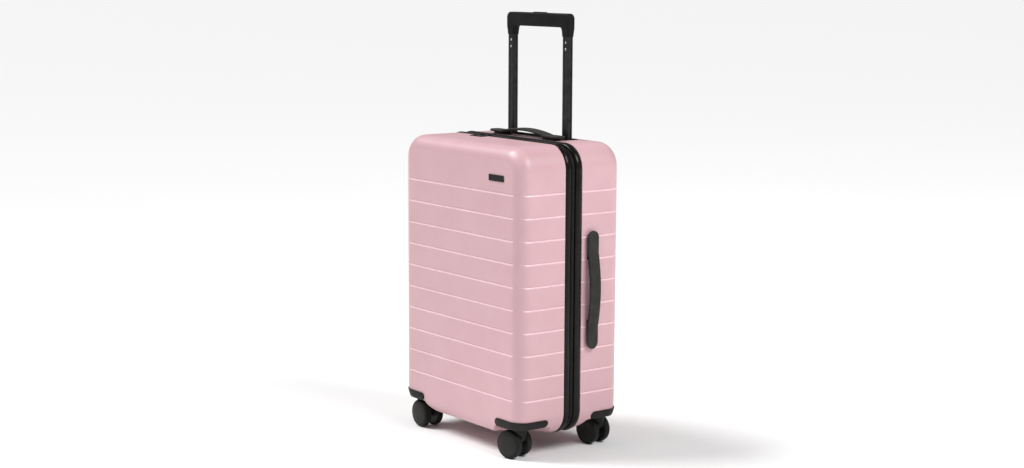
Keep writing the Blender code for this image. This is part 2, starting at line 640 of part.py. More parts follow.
def handle_bar():
    """The bowed strap of a carry handle, along X, rising along +Z from the shell at z = 0."""
    mesh = bmesh.new()
    bmesh.ops.create_cube(mesh, size=1.0)
    bmesh.ops.scale(mesh, vec=(HANDLE_LENGTH, HANDLE_WIDTH, HANDLE_THICKNESS), verts=mesh.verts)
    long_edges = [edge for edge in mesh.edges if runs_along(edge, 0)]
    bmesh.ops.subdivide_edges(mesh, edges=long_edges, cuts=HANDLE_STATIONS - 1, use_grid_fill=True)
    half = HANDLE_LENGTH / 2
    round_end = HANDLE_WIDTH / 2
    arch = half - HANDLE_PAD_LENGTH
    for vert in mesh.verts:
        station = round(vert.co.x / half * HANDLE_STATIONS / 2)
        reach = abs(station) / (HANDLE_STATIONS / 2)
        along = half * (1 - (1 - reach) ** 1.6)
        past = max(0.0, along - (half - round_end))
        vert.co.x = math.copysign(along, station)
        vert.co.y *= max(0.30, math.sqrt(max(0.0, 1 - (past / round_end) ** 2)))
        lift = 0.5 * HANDLE_BOW * (1 + math.cos(math.pi * along / arch)) if along < arch else 0.0
        vert.co.z += HANDLE_PAD_FACE - HANDLE_THICKNESS / 2 + lift
    soft = [edge for edge in mesh.edges if edge.calc_face_angle() > math.radians(50)]
    bmesh.ops.bevel(mesh, geom=soft, offset=0.0009, segments=1, profile=0.5, affect="EDGES")
    return mesh


def carry_handle(name, centre, turn, shell_body, finish, frame):
    """A handle bar with two stems, and the two mounts sunk into the shell that guide them."""
    place = Matrix.Translation(centre) @ turn
    bar = handle_bar()
    bmesh.ops.transform(bar, matrix=turn, verts=bar.verts)
    body = piece(name, bar, finish, frame, centre)
    for side, label in ((-1, "_a"), (1, "_b")):
        middle = side * MOUNT_CENTRE
        stem_top = HANDLE_PAD_FACE - HANDLE_THICKNESS / 2
        stem = block((STEM_SIDE, STEM_SIDE, STEM_LENGTH), (middle, 0, stem_top - STEM_LENGTH / 2))
        combine(body, placed_cutter(name + "_stem" + label, stem, place, frame), "UNION")
        top = HANDLE_PAD_FACE - HANDLE_THICKNESS - GAP
        height = top + MOUNT_SUNK
        seat = block((MOUNT_LENGTH, MOUNT_WIDTH, height), (middle, 0, top - height / 2), "z", 0.002)
        bmesh.ops.transform(seat, matrix=place, verts=seat.verts)
        mount = piece(name + "_mount" + label, seat, finish, frame)
        bore = block((STEM_SIDE + 2 * GAP, STEM_SIDE + 2 * GAP, 0.04), (middle, 0, 0))
        combine(mount, placed_cutter(name + "_mount_bore" + label, bore, place, frame))
        hole = block((MOUNT_LENGTH + 2 * GAP, MOUNT_WIDTH + 2 * GAP, 0.02), (middle, 0, 0))
        combine(shell_body, placed_cutter(name + "_shell_hole" + label, hole, place, frame))


def carry_handles(frame, rear_shell, finish):
    """Side handle on the right, top handle in front of the trolley."""
    outward = Matrix.Rotation(math.radians(90), 4, "Y")
    carry_handle("side_handle", Vector((WIDTH / 2, SIDE_HANDLE_Y, SIDE_HANDLE_Z)), outward, rear_shell, finish, frame)
    carry_handle("top_handle", Vector((0, TOP_HANDLE_Y, SHELL_TOP)), Matrix.Identity(4), rear_shell, finish, frame)


# ---------------------------------------------------------------- lock, zip sliders, badge, inside

def dial_lock(lid, front_shell, plastic, steel):
    """The dial lock let into the front shell's top: body, three dials, shaft and release."""
    top = SHELL_TOP + LOCK_PROUD
    body = piece("lock_body", block(LOCK_SIZE, (LOCK_X, LOCK_Y, top - LOCK_SIZE[2] / 2), "z", 0.002), plastic, lid)
    opening = block((LOCK_SIZE[0] + 2 * GAP, LOCK_SIZE[1] + 2 * GAP, 0.02), (LOCK_X, LOCK_Y, SHELL_TOP), "z", 0.002)
    combine(front_shell, cutter("shell_lock_opening", opening, lid))
    dials_x = LOCK_X + DIAL_OFFSET
    shaft_z = top - DIAL_RADIUS + 0.0006
    slot_length = 3 * DIAL_PITCH + 0.001
    slot = block((slot_length, 2 * DIAL_RADIUS + 0.0012, 0.012), (dials_x, LOCK_Y, shaft_z + 0.006 - DIAL_RADIUS - 0.0006))
    combine(body, cutter("lock_slot", slot, lid))
    shaft_reach = slot_length / 2 + 0.002
    shaft = move(lay_along(drum(DIAL_SHAFT_RADIUS, -shaft_reach, shaft_reach, steps=12), "x"),
                 (dials_x, LOCK_Y, shaft_z))
    combine(body, cutter("lock_shaft", shaft, lid), "UNION")
    for index in range(3):
        centre = (dials_x + (index - 1) * DIAL_PITCH, LOCK_Y, shaft_z)
        dial = piece("lock_dial_" + str(index + 1),
                     lay_along(drum(DIAL_RADIUS, -DIAL_THICKNESS / 2, DIAL_THICKNESS / 2, steps=20), "x"),
                     steel, lid, centre)
        hole = move(lay_along(drum(DIAL_SHAFT_RADIUS + GAP, -0.01, 0.01, steps=12), "x"), centre)
        combine(dial, cutter("dial_hole_" + str(index + 1), hole, lid))
    release_x = LOCK_X - 0.0105
    well = block((0.0105, 0.0066, 0.006), (release_x, LOCK_Y, top))
    combine(body, cutter("lock_release_well", well, lid))
    piece("lock_release", block((0.007, 0.006, 0.0032), (0, 0, 0), "z", 0.001), plastic, lid,
          (release_x + 0.0014, LOCK_Y, top - 0.003 + GAP + 0.0016))


def zip_sliders(frame, steel):
    """Two zip sliders on the top run, each with a pull tab laid towards the lock."""
    top = SHELL_TOP - TAPE_RECESS + GAP
    for label, x in (("right", SLIDER_X[0]), ("left", SLIDER_X[1])):
        length, width, height = SLIDER_SIZE
        piece("zip_slider_" + label,
              block((length, width, height), (0, 0, height / 2), "z", 0.0025),
              steel, frame, (x, ZIP_MIDDLE, top))
        pivot_z = SHELL_TOP + BEAD_PROUD + 0.0012
        pull = block(PULL_SIZE, (0, 0.0015 - PULL_SIZE[1] / 2, 0), "z", 0.003)
        piece("zip_pull_" + label, pull, steel, frame, (x, ZIP_MIDDLE, pivot_z))


def badge(lid, plastic):
    """The blank name plate on the front face."""
    y = -DEPTH / 2 - GAP - BADGE_SIZE[1] / 2
    piece("badge", block(BADGE_SIZE, (BADGE_X, y, BADGE_Z), "y", 0.0015), plastic, lid)


def inside_fittings(frame, cloth, plastic):
    """Hinge strip inside the left wall, and the packing straps with their buckles."""
    strip_x = -(WIDTH / 2 - BEAD_DEPTH - 0.0011)
    piece("hinge_strip", block((0.001, 0.016, 0.43), (strip_x, 0.0118, 0.2935)), cloth, frame)
    straps = piece("packing_straps", block((0.16, STRAP[1], STRAP[0]), (0, STRAP_Y, STRAP_Z)), cloth, frame)
    for side, label in ((-1, "_left"), (1, "_right")):
        band = block((STRAP[0], STRAP[1] * 0.9, STRAP[2]), (side * 0.08, STRAP_Y, STRAP_Z))
        combine(straps, cutter("strap" + label, band, frame), "UNION")
    piece("strap_buckle", block(BUCKLE_SIZE, (0, STRAP_Y - STRAP[1] / 2 - GAP - BUCKLE_SIZE[1] / 2, STRAP_Z), "y", 0.006),
          plastic, frame)


def main():
    clear_scene()
    collection(PARTS)
    collection(CUTTERS)
    paint = material("pink_polycarbonate", (0.65, 0.42, 0.45), 0.45)
    trim = material("black_glossy_trim", (0.02, 0.018, 0.016), 0.25)
    plastic = material("black_moulded_plastic", (0.045, 0.045, 0.042), 0.5)
    tyre = material("grey_wheel_plastic", (0.035, 0.035, 0.034), 0.45)
    tape = material("black_zip_tape", (0.012, 0.012, 0.010), 0.8)
    cloth = material("grey_lining_cloth", (0.20, 0.19, 0.19), 0.9)
    alloy = material("black_anodised_aluminium", (0.03, 0.03, 0.03), 0.35, 1.0)
    steel = material("steel", (0.5, 0.5, 0.5), 0.3, 1.0)

    frame = empty("suitcase", (-ORIGIN_SHIFT, 0, 0))
    hinge = empty("lid_hinge_line", (HINGE_X, ZIP_MIDDLE, 0), frame)
    lid = empty("lid", (-HINGE_X, -ZIP_MIDDLE, 0), hinge)
    front, rear = case_halves(frame, lid, paint, trim, tape, cloth)

    finishes = {"plastic": plastic, "steel": steel, "tyre": tyre}
    meshes = caster_meshes(frame, plastic, steel, tyre)
    for corner, (_, end) in CORNERS.items():
        carrier = lid if end < 0 else frame
        corner_guard(corner, plastic, carrier)
        caster(corner, meshes, carrier, finishes)

    trolley(frame, rear, plastic, alloy, steel)
    carry_handles(frame, rear, plastic)
    dial_lock(lid, front, plastic, steel)
    zip_sliders(frame, steel)
    badge(lid, plastic)
    inside_fittings(frame, cloth, plastic)


main()
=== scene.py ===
"""The looks of a hard shell spinner suitcase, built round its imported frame.

The grooved polycarbonate halves, the glossy beads and the zip, the corner guards and
twin-wheel casters, the trolley, the carry handles, the dial lock, the badge and the
cloth inside are each made by one operator of the "Suitcase" panel.
"""

import json
import math

import bmesh
import bpy
from mathutils import Matrix, Vector, noise


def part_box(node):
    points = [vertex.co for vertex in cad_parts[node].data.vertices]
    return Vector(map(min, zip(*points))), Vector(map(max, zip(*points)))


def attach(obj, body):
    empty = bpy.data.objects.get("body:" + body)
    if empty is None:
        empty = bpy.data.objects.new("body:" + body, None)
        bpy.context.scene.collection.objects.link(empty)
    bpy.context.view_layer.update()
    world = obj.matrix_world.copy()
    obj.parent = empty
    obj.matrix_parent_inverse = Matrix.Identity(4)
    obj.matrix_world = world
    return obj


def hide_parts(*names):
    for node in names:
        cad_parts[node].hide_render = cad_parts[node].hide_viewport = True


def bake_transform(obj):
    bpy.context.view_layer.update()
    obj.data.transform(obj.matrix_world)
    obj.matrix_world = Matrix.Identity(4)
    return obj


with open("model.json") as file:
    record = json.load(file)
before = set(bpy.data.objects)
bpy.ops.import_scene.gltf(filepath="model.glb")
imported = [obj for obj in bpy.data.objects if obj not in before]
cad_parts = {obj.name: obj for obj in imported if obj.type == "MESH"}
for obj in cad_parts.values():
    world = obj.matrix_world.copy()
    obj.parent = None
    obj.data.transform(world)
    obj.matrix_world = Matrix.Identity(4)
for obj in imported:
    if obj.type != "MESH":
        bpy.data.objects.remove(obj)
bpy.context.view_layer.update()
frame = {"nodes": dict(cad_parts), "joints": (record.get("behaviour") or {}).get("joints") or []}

bl_info = {
    "name": "Spinner suitcase",
    "version": (1, 0, 0),
    "blender": (4, 5, 0),
    "location": "View3D > Sidebar > Suitcase",
    "description": "Builds the looks of a hard shell spinner suitcase round its frame",
    "category": "Object",
}

MM = 0.001

# Places read from the frame
FRONT_LOW, FRONT_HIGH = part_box("front_shell")
REAR_LOW, REAR_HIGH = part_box("rear_shell")
CASE_X = (FRONT_LOW.x + FRONT_HIGH.x) / 2
HALF_WIDTH = (FRONT_HIGH.x - FRONT_LOW.x) / 2
SHELL_BOTTOM = FRONT_LOW.z
SHELL_TOP = FRONT_HIGH.z
FACE_Y = {-1: FRONT_LOW.y, 1: REAR_HIGH.y}
RIM_Y = {-1: FRONT_HIGH.y, 1: REAR_LOW.y}
JOINTS = {joint["name"]: joint for joint in frame["joints"]}
CORNERS = {
    "front_right": (1, -1),
    "front_left": (-1, -1),
    "rear_right": (1, 1),
    "rear_left": (-1, 1),
}
SIDE_NAME = {-1: "left", 1: "right"}
HALF_BODY = {-1: "lid", 1: "case"}


# ---------------------------------------------------------------- settings

def size_prop(name, description, millimetres):
    """A length setting, with its default in millimetres."""
    return bpy.props.FloatProperty(
        name=name, description=description, default=millimetres * MM, unit="LENGTH")


def colour_prop(name, description, hex_colour):
    """A colour setting, as an sRGB hex value."""
    return bpy.props.StringProperty(name=name, description=description, default=hex_colour)


class SuitcaseSizes(bpy.types.PropertyGroup):
    """Sizes that a maker of the case would set."""

    corner_radius: size_prop("Corner radius", "Radius of the case's outline, seen from the front", 43)
    edge_radius: size_prop("Edge radius", "Radius between a face and the sides", 26)
    wall: size_prop("Wall", "Thickness of the shells", 2.5)
    groove_count: bpy.props.IntProperty(
        name="Grooves", description="Number of level grooves round each shell", default=10)
    groove_pitch: size_prop("Groove pitch", "Height from one groove to the next", 40.2)
    groove_first: size_prop("Lowest groove", "Height of the lowest groove above the floor", 108.2)
    groove_width: size_prop("Groove width", "Width of a groove at the surface", 4.6)
    groove_depth: size_prop("Groove depth", "Depth of a groove on the flat faces", 1.2)
    bead_proud: size_prop("Bead height", "How far the beads stand out of the shells", 1.8)
    tooth_pitch: size_prop("Tooth pitch", "Distance between the zip's teeth", 2.2)


class SuitcaseColours(bpy.types.PropertyGroup):
    """Colours of the case."""

    shell: colour_prop("Shell", "Pink of the polycarbonate shells", "#CBA4AA")
    shell_shade: colour_prop("Shell shade", "The shells' slightly deeper patches", "#C8A0A6")
    # The groove lips' paler pink is a painted highlight, standing in for the top light that the sloped lower
    # lips catch.
    lip: colour_prop("Groove lip", "Paler pink of the polished groove lips", "#EDC9CE")
    lip_shade: colour_prop("Groove lip shade", "The lips' slightly deeper patches", "#E9C3C9")
    trim: colour_prop("Beads", "Black of the glossy beads", "#0C0A09")
    trim_dull: colour_prop("Dulled beads", "The beads where handling has dulled them", "#161311")
    plastic: colour_prop("Moulded plastic", "Black of guards, lock and cup", "#131210")
    strap: colour_prop("Carry handles", "Black of the carry handles", "#2A2926")
    grip: colour_prop("Trolley grip", "Black of the trolley's grip", "#080809")
    tube: colour_prop("Tubes", "Black of the anodised tubes", "#2A2A2A")
    wheel: colour_prop("Wheels", "Grey of the wheel discs", "#191918")
    tread: colour_prop("Treads", "Grey of the wheels' treads", "#171716")
    steel: colour_prop("Steel", "Screws, axles, pins and rods", "#A5A5A2")
    zinc: colour_prop("Zinc", "Lacquered zinc of sliders, dials and badge", "#3A3938")
    teeth: colour_prop("Zip teeth", "Black of the nylon teeth", "#0E0E0D")
    tape: colour_prop("Zip tape", "Black of the woven tape", "#0C0C0B")
    webbing: colour_prop("Webbing", "Dark grey of straps and bindings", "#2E2C2C")
    lining: colour_prop("Lining", "Grey of the cloth inside", "#8C8787")


def sizes():
    """The scene's sizes."""
    return bpy.context.scene.suitcase_sizes


def colours():
    """The scene's colours."""
    return bpy.context.scene.suitcase_colours


# ---------------------------------------------------------------- making pieces

def finish_piece(made, body, stands_for=()):
    """Lets a piece ride on a body, and hides the nodes it replaces."""
    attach(made, body)
    if stands_for:
        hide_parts(*stands_for)
    return made


def add_piece(name, mesh, finish, sharp=35.0):
    """Makes an object from a bmesh, shaded smooth up to an angle in degrees."""
    data = bpy.data.meshes.new(name)
    mesh.normal_update()
    mesh.to_mesh(data)
    mesh.free()
    data.materials.append(finish)
    data.shade_smooth()
    data.set_sharp_from_angle(angle=math.radians(sharp))
    made = bpy.data.objects.new(name, data)
    bpy.context.scene.collection.objects.link(made)
    return made


def add_tool(mesh):
    """A solid that cuts or joins, removed once settle() has used it."""
    data = bpy.data.meshes.new("tool")
    mesh.to_mesh(data)
    mesh.free()
    made = bpy.data.objects.new("tool", data)
    bpy.context.scene.collection.objects.link(made)
    return made


def combine(target, tool, operation="DIFFERENCE"):
    """Adds an exact Boolean with a tool, given as a bmesh or as an object."""
    if isinstance(tool, bmesh.types.BMesh):
        tool = add_tool(tool)
    step = target.modifiers.new("combine", "BOOLEAN")
    step.operation = operation
    step.object = tool
    step.solver = "EXACT"


def soften(target, width, segments=2, angle=40.0):
    """Adds a Bevel to a piece's sharp edges."""
    step = target.modifiers.new("soften", "BEVEL")
    step.width = width
    step.segments = segments
    step.limit_method = "ANGLE"
    step.angle_limit = math.radians(angle)
    step.use_clamp_overlap = True
    step.harden_normals = False


def settle(target, sharp=35.0):
    """Applies a piece's modifiers and removes the tools they used; sharp None keeps its sharp edges."""
    tools = gather_tools(target)
    bpy.context.view_layer.update()
    settled = bpy.data.meshes.new_from_object(
        target.evaluated_get(bpy.context.evaluated_depsgraph_get()))
    target.modifiers.clear()
    target.data = settled
    if sharp is not None:
        settled.shade_smooth()
        settled.set_sharp_from_angle(angle=math.radians(sharp))
    for tool in tools:
        bpy.data.objects.remove(tool, do_unlink=True)
    return target


def settle_soft(target, width, segments=2, angle=40.0):
    """Bevels a piece's sharp edges and settles it."""
    soften(target, width, segments, angle)
    return settle(target, 40.0)


def gather_tools(target):
    """The tools of a piece's Booleans, and the tools of those tools."""
    found = []
    for step in target.modifiers:
        if step.type == "BOOLEAN" and step.object:
            found.append(step.object)
            found += gather_tools(step.object)
    return list(dict.fromkeys(found))


def span(node):
    """A CAD node's lowest corner, highest corner, size and middle."""
    low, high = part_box(node)
    return low, high, high - low, (low + high) / 2


def runs_along(edge, axis):
    """True where an edge is parallel to an axis."""
    run = edge.verts[1].co - edge.verts[0].co
    return abs(abs(run[axis]) - run.length) < 1e-7


def block(size, centre=(0, 0, 0), round_axis=None, radius=0.0, segments=4):
    """A box bmesh; the four edges along round_axis, or all edges, are rounded."""
    mesh = bmesh.new()
    bmesh.ops.create_cube(mesh, size=1.0)
    bmesh.ops.scale(mesh, vec=Vector(size), verts=mesh.verts)
    if round_axis:
        edges = list(mesh.edges)
        if round_axis != "all":
            edges = [edge for edge in edges if runs_along(edge, "xyz".index(round_axis))]
        bmesh.ops.bevel(mesh, geom=edges, offset=radius, segments=segments, profile=0.5, affect="EDGES")
    bmesh.ops.translate(mesh, verts=mesh.verts, vec=Vector(centre))
    return mesh


def spun(profile, steps, place=Matrix.Identity(4)):
    """Turns (radius, height) points about an upright axis, then places the result."""
    mesh = bmesh.new()
    rows = []
    for radius, height in profile:
        if radius < 1e-7:
            rows.append([mesh.verts.new((0, 0, height))])
            continue
        rows.append([mesh.verts.new((radius * math.cos(angle), radius * math.sin(angle), height))
                     for angle in (math.tau * step / steps for step in range(steps))])
    for upper, lower in zip(rows, rows[1:]):
        join_rows(mesh, upper, lower, steps)
    bmesh.ops.transform(mesh, matrix=place, verts=mesh.verts)
    return mesh


def join_rows(mesh, upper, lower, steps):
    """Faces between two rings of a turned form, either of which may be a point on the axis."""
    for step in range(steps):
        after = (step + 1) % steps
        if len(upper) == 1 and len(lower) == 1:
            return
        if len(upper) == 1:
            mesh.faces.new((upper[0], lower[step], lower[after]))
        elif len(lower) == 1:
            mesh.faces.new((upper[step], lower[0], upper[after]))
        else:
            mesh.faces.new((upper[step], lower[step], lower[after], upper[after]))


def cylinder(radius, start, end, steps=32):
    """A closed cylinder between two points."""
    start, end = Vector(start), Vector(end)
    run = end - start
    turn = run.to_track_quat("Z", "Y").to_matrix().to_4x4()
    mesh = bmesh.new()
    bmesh.ops.create_cone(mesh, cap_ends=True, segments=steps, radius1=radius, radius2=radius,
                          depth=run.length, matrix=Matrix.Translation((start + end) / 2) @ turn)
    return mesh


def extruded(points, low, high, place=Matrix.Identity(4)):
    """A closed outline of (x, y) points drawn up from one height to another."""
    mesh = bmesh.new()
    base = mesh.faces.new([mesh.verts.new((x, y, low)) for x, y in points])
    drawn = bmesh.ops.extrude_face_region(mesh, geom=[base])
    raised = [item for item in drawn["geom"] if isinstance(item, bmesh.types.BMVert)]
    bmesh.ops.translate(mesh, verts=raised, vec=(0, 0, high - low))
    bmesh.ops.recalc_face_normals(mesh, faces=mesh.faces)
    bmesh.ops.transform(mesh, matrix=place, verts=mesh.verts)
    return mesh


def arc(centre, radius, start, end, steps):
    """Points on an arc, from one angle to another in degrees."""
    angles = [math.radians(start + (end - start) * step / steps) for step in range(steps + 1)]
    return [(centre[0] + radius * math.cos(angle), centre[1] + radius * math.sin(angle)) for angle in angles]


def merge(target, other):
    """Adds another bmesh's geometry to a bmesh and frees the other."""
    data = bpy.data.meshes.new("merge")
    other.to_mesh(data)
    other.free()
    target.from_mesh(data)
    bpy.data.meshes.remove(data)
    return target


# ---------------------------------------------------------------- materials

def linear(hex_colour):
    """Turns an sRGB hex value to linear red, green, blue and alpha."""
    channels = [int(hex_colour[place:place + 2], 16) / 255 for place in (1, 3, 5)]
    return (*[channel / 12.92 if channel <= 0.04045 else ((channel + 0.055) / 1.055) ** 2.4
              for channel in channels], 1.0)


def add(tree, kind, links=None, **settings):
    """Adds a node. Settings are its own properties; links give its inputs a value or a socket."""
    made = tree.nodes.new(kind)
    for name, value in settings.items():
        setattr(made, name, value)
    for name, value in (links or {}).items():
        socket = made.inputs[name]
        if isinstance(value, bpy.types.NodeSocket):
            tree.links.new(value, socket)
        else:
            socket.default_value = value
    return made


def new_finish(name, roughness, metallic=0.0, ior=1.5, **extra):
    """A material with a Principled shader; extra names other sockets, with spaces as underscores."""
    made = bpy.data.materials.new(name)
    made.use_nodes = True
    shader = made.node_tree.nodes["Principled BSDF"]
    shader.inputs["Roughness"].default_value = roughness
    shader.inputs["Metallic"].default_value = metallic
    if not metallic:
        shader.inputs["IOR"].default_value = ior
    for label, value in extra.items():
        shader.inputs[label.replace("_", " ")].default_value = value
    return made, made.node_tree, shader


def vary_colour(tree, shader, hex_dark, hex_light, size_mm, detail=3.0):
    """Drives the base colour between two close shades with noise of a real size."""
    place = add(tree, "ShaderNodeTexCoord")
    cloud = add(tree, "ShaderNodeTexNoise", {"Vector": place.outputs["Object"], "Scale": 1000.0 / size_mm,
                                             "Detail": detail, "Roughness": 0.55})
    ramp = add(tree, "ShaderNodeValToRGB", {"Fac": cloud.outputs["Fac"]})
    ramp.color_ramp.elements[0].position = 0.35
    ramp.color_ramp.elements[0].color = linear(hex_dark)
    ramp.color_ramp.elements[1].position = 0.65
    ramp.color_ramp.elements[1].color = linear(hex_light)
    tree.links.new(ramp.outputs["Color"], shader.inputs["Base Color"])
    return place


def vary_roughness(tree, shader, low, high, size_mm, place):
    """Drives the roughness between two values with noise of a real size."""
    cloud = add(tree, "ShaderNodeTexNoise", {"Vector": place.outputs["Object"], "Scale": 1000.0 / size_mm,
                                             "Detail": 4.0, "Roughness": 0.6})
    spread = add(tree, "ShaderNodeMapRange", {"Value": cloud.outputs["Fac"], "From Min": 0.3, "From Max": 0.7,
                                              "To Min": low, "To Max": high})
    tree.links.new(spread.outputs["Result"], shader.inputs["Roughness"])


def grain(tree, shader, place, size_mm, height_mm, strength=1.0):
    """A fine moulded grain: rounded bumps of a real size and height."""
    cells = add(tree, "ShaderNodeTexVoronoi", {"Vector": place.outputs["Object"], "Scale": 1000.0 / size_mm},
                feature="SMOOTH_F1")
    bump = add(tree, "ShaderNodeBump", {"Height": cells.outputs["Distance"], "Strength": strength,
                                        "Distance": height_mm * MM})
    tree.links.new(bump.outputs["Normal"], shader.inputs["Normal"])
    return bump


def moulded_polycarbonate(hex_colour, hex_shade, name="vacuum_formed_polycarbonate", roughness=0.4):
    """Vacuum-formed polycarbonate sheet, coloured through, with a satin skin.

    The forming leaves a slight orange peel, about 2 mm across, that softens the edges of
    reflections, and handling leaves faint patches of higher gloss."""
    made, tree, shader = new_finish(name, roughness, ior=1.58)
    place = vary_colour(tree, shader, hex_shade, hex_colour, 60.0)
    vary_roughness(tree, shader, roughness - 0.04, roughness + 0.06, 25.0, place)
    grain(tree, shader, place, 2.0, 0.012, 0.5)
    return made


def gloss_bead(hex_colour, hex_dull):
    """Extruded glossy PVC: a thin bright line runs along each bead and breaks up where it is handled."""
    made, tree, shader = new_finish("extruded_gloss_bead", 0.22, ior=1.5, Specular_IOR_Level=0.17)
    place = vary_colour(tree, shader, hex_colour, hex_dull, 30.0)
    vary_roughness(tree, shader, 0.16, 0.30, 9.0, place)
    return made


def spark_eroded_abs(hex_colour, name="spark_eroded_abs", roughness=0.5):
    """ABS moulded in a spark-eroded tool: an even matt black that hardly mirrors anything.

    The real grain is about 0.2 mm across. It is drawn at 0.8 mm, as fine as the render shows."""
    made, tree, shader = new_finish(name, roughness, ior=1.53, Specular_IOR_Level=0.2)
    place = vary_colour(tree, shader, hex_colour, lighter(hex_colour, 8), 12.0)
    vary_roughness(tree, shader, roughness - 0.06, roughness + 0.08, 6.0, place)
    grain(tree, shader, place, 0.8, 0.03, 0.6)
    return made


def lighter(hex_colour, amount):
    """The same hex colour with each channel raised."""
    channels = [min(255, int(hex_colour[place:place + 2], 16) + amount) for place in (1, 3, 5)]
    return "#%02X%02X%02X" % tuple(channels)


def soft_touch_rubber(hex_colour, name="soft_touch_rubber", sheen=0.04):
    """Overmoulded thermoplastic rubber: deep matt, with a faint sheen at grazing angles unless sheen is 0.

    Its moulded grain is drawn at 0.6 mm, coarser than the real 0.15 mm, so that it shows."""
    made, tree, shader = new_finish(name, 0.62, ior=1.5, Specular_IOR_Level=0.16,
                                    Sheen_Weight=sheen, Sheen_Roughness=0.4)
    place = vary_colour(tree, shader, hex_colour, lighter(hex_colour, 9), 18.0)
    vary_roughness(tree, shader, 0.55, 0.70, 8.0, place)
    grain(tree, shader, place, 0.6, 0.02, 0.5)
    return made


def anodised_aluminium(hex_colour):
    """Extruded aluminium, black anodised: draw lines streak its reflections along the tube."""
    line_mm, run_mm = 0.4, 83.3
    made, tree, shader = new_finish("black_anodised_aluminium", 0.3, metallic=0.85)
    place = vary_colour(tree, shader, hex_colour, lighter(hex_colour, 14), 15.0)
    stretched = add(tree, "ShaderNodeMapping",
                    {"Vector": place.outputs["Object"],
                     "Scale": [round(1 / MM / size_mm) for size_mm in (line_mm, line_mm, run_mm)]})
    lines = add(tree, "ShaderNodeTexNoise",
                {"Vector": stretched.outputs["Vector"], "Scale": 1.0, "Detail": 2.0})
    spread = add(tree, "ShaderNodeMapRange", {"Value": lines.outputs["Fac"], "To Min": 0.24, "To Max": 0.38})
    tree.links.new(spread.outputs["Result"], shader.inputs["Roughness"])
    bump = add(tree, "ShaderNodeBump",
               {"Height": lines.outputs["Fac"], "Strength": 0.25, "Distance": 0.02 * MM})
    tree.links.new(bump.outputs["Normal"], shader.inputs["Normal"])
    return made


def plain_metal(name, hex_colour, roughness):
    """Turned or die-cast metal: soft uneven gloss, dulled in spots a few millimetres across."""
    made, tree, shader = new_finish(name, roughness, metallic=1.0)
    place = vary_colour(tree, shader, hex_colour, lighter(hex_colour, 16), 4.0)
    vary_roughness(tree, shader, roughness - 0.05, roughness + 0.1, 2.0, place)
    return made


def woven_cloth(name, hex_colour, thread_mm, height_mm=0.15):
    """Plain weave of two crossed sets of threads: a dry, even surface with a soft edge sheen.

    Real threads here are 0.2 to 0.4 mm apart. They are drawn wider, so that the weave shows."""
    made, tree, shader = new_finish(name, 0.85, ior=1.45, Sheen_Weight=0.25, Sheen_Roughness=0.5)
    place = vary_colour(tree, shader, hex_colour, lighter(hex_colour, 14), 20.0)
    waves = []
    for direction in ("X", "Z"):
        waves.append(add(tree, "ShaderNodeTexWave",
                         {"Vector": place.outputs["Object"], "Scale": 1000.0 / thread_mm / math.tau * 2,
                          "Distortion": 0.6, "Detail": 1.0},
                         bands_direction=direction))
    crossed = add(tree, "ShaderNodeMath", {0: waves[0].outputs["Fac"], 1: waves[1].outputs["Fac"]},
                  operation="MULTIPLY")
    bump = add(tree, "ShaderNodeBump",
               {"Height": crossed.outputs["Value"], "Strength": 0.8, "Distance": height_mm * MM})
    tree.links.new(bump.outputs["Normal"], shader.inputs["Normal"])
    return made


FINISHES = {}


def finishes():
    """Makes each finish once and keeps it by a short name."""
    if not FINISHES:
        shade = colours()
        FINISHES.update({
            "shell": moulded_polycarbonate(shade.shell, shade.shell_shade),
            # The lip finish is glossier than the shell, which is real, and paler pink, which is a painted
            # highlight.
            "lip": moulded_polycarbonate(shade.lip, shade.lip_shade, "painted_highlight_polycarbonate_lip", 0.28),
            "trim": gloss_bead(shade.trim, shade.trim_dull),
            "plastic": spark_eroded_abs(shade.plastic),
            "rubber": soft_touch_rubber(shade.strap),
            "grip": soft_touch_rubber(shade.grip, "grip_soft_touch", 0.0),
            "tube": anodised_aluminium(shade.tube),
            "wheel": spark_eroded_abs(shade.wheel, "moulded_wheel_disc", 0.42),
            "tread": soft_touch_rubber(shade.tread, "cast_polyurethane_tread"),
            "steel": plain_metal("turned_steel", shade.steel, 0.3),
            "zinc": plain_metal("lacquered_zinc", shade.zinc, 0.35),
            "nylon": spark_eroded_abs(shade.teeth, "nylon_zip_teeth", 0.4),
            "tape": woven_cloth("woven_zip_tape", shade.tape, 0.9, 0.1),
            "webbing": woven_cloth("woven_webbing", shade.webbing, 1.6, 0.3),
            "lining": woven_cloth("woven_lining", shade.lining, 1.2, 0.1),
        })
    return FINISHES


# ---------------------------------------------------------------- the case's form

def stations(end, inset, rim_y):
    """Steps from the rim over the edge to the face: (inset from the outline, y)."""
    radius = sizes().edge_radius - inset
    face = FACE_Y[end] - end * inset
    start = face - end * radius
    run = 12
    steps = [(inset, rim_y + (start - rim_y) * index / run) for index in range(run)]
    curve = 16
    for index in range(curve + 1):
        angle = math.radians(90) * index / curve
        steps.append((inset + radius * (1 - math.cos(angle)), start + end * radius * math.sin(angle)))
    return steps


def outline(inset, outset_steps=(12, 14)):
    """The case's outline at an inset, anticlockwise from the right side's top of the straight."""
    arc_steps, top_steps = outset_steps
    radius = sizes().corner_radius - inset
    reach_x = HALF_WIDTH - sizes().corner_radius
    top = SHELL_TOP - sizes().corner_radius
    bottom = SHELL_BOTTOM + sizes().corner_radius
    over = arc((CASE_X + reach_x, top), radius, 0, 90, arc_steps)
    over += [(CASE_X + reach_x - 2 * reach_x * step / top_steps, top + radius)
             for step in range(1, top_steps)]
    over += arc((CASE_X - reach_x, top), radius, 90, 180, arc_steps)
    under = arc((CASE_X - reach_x, bottom), radius, 180, 270, arc_steps)
    under += [(CASE_X - reach_x + 2 * reach_x * step / top_steps, bottom - radius)
              for step in range(1, top_steps)]
    under += arc((CASE_X + reach_x, bottom), radius, 270, 360, arc_steps)
    return over, under


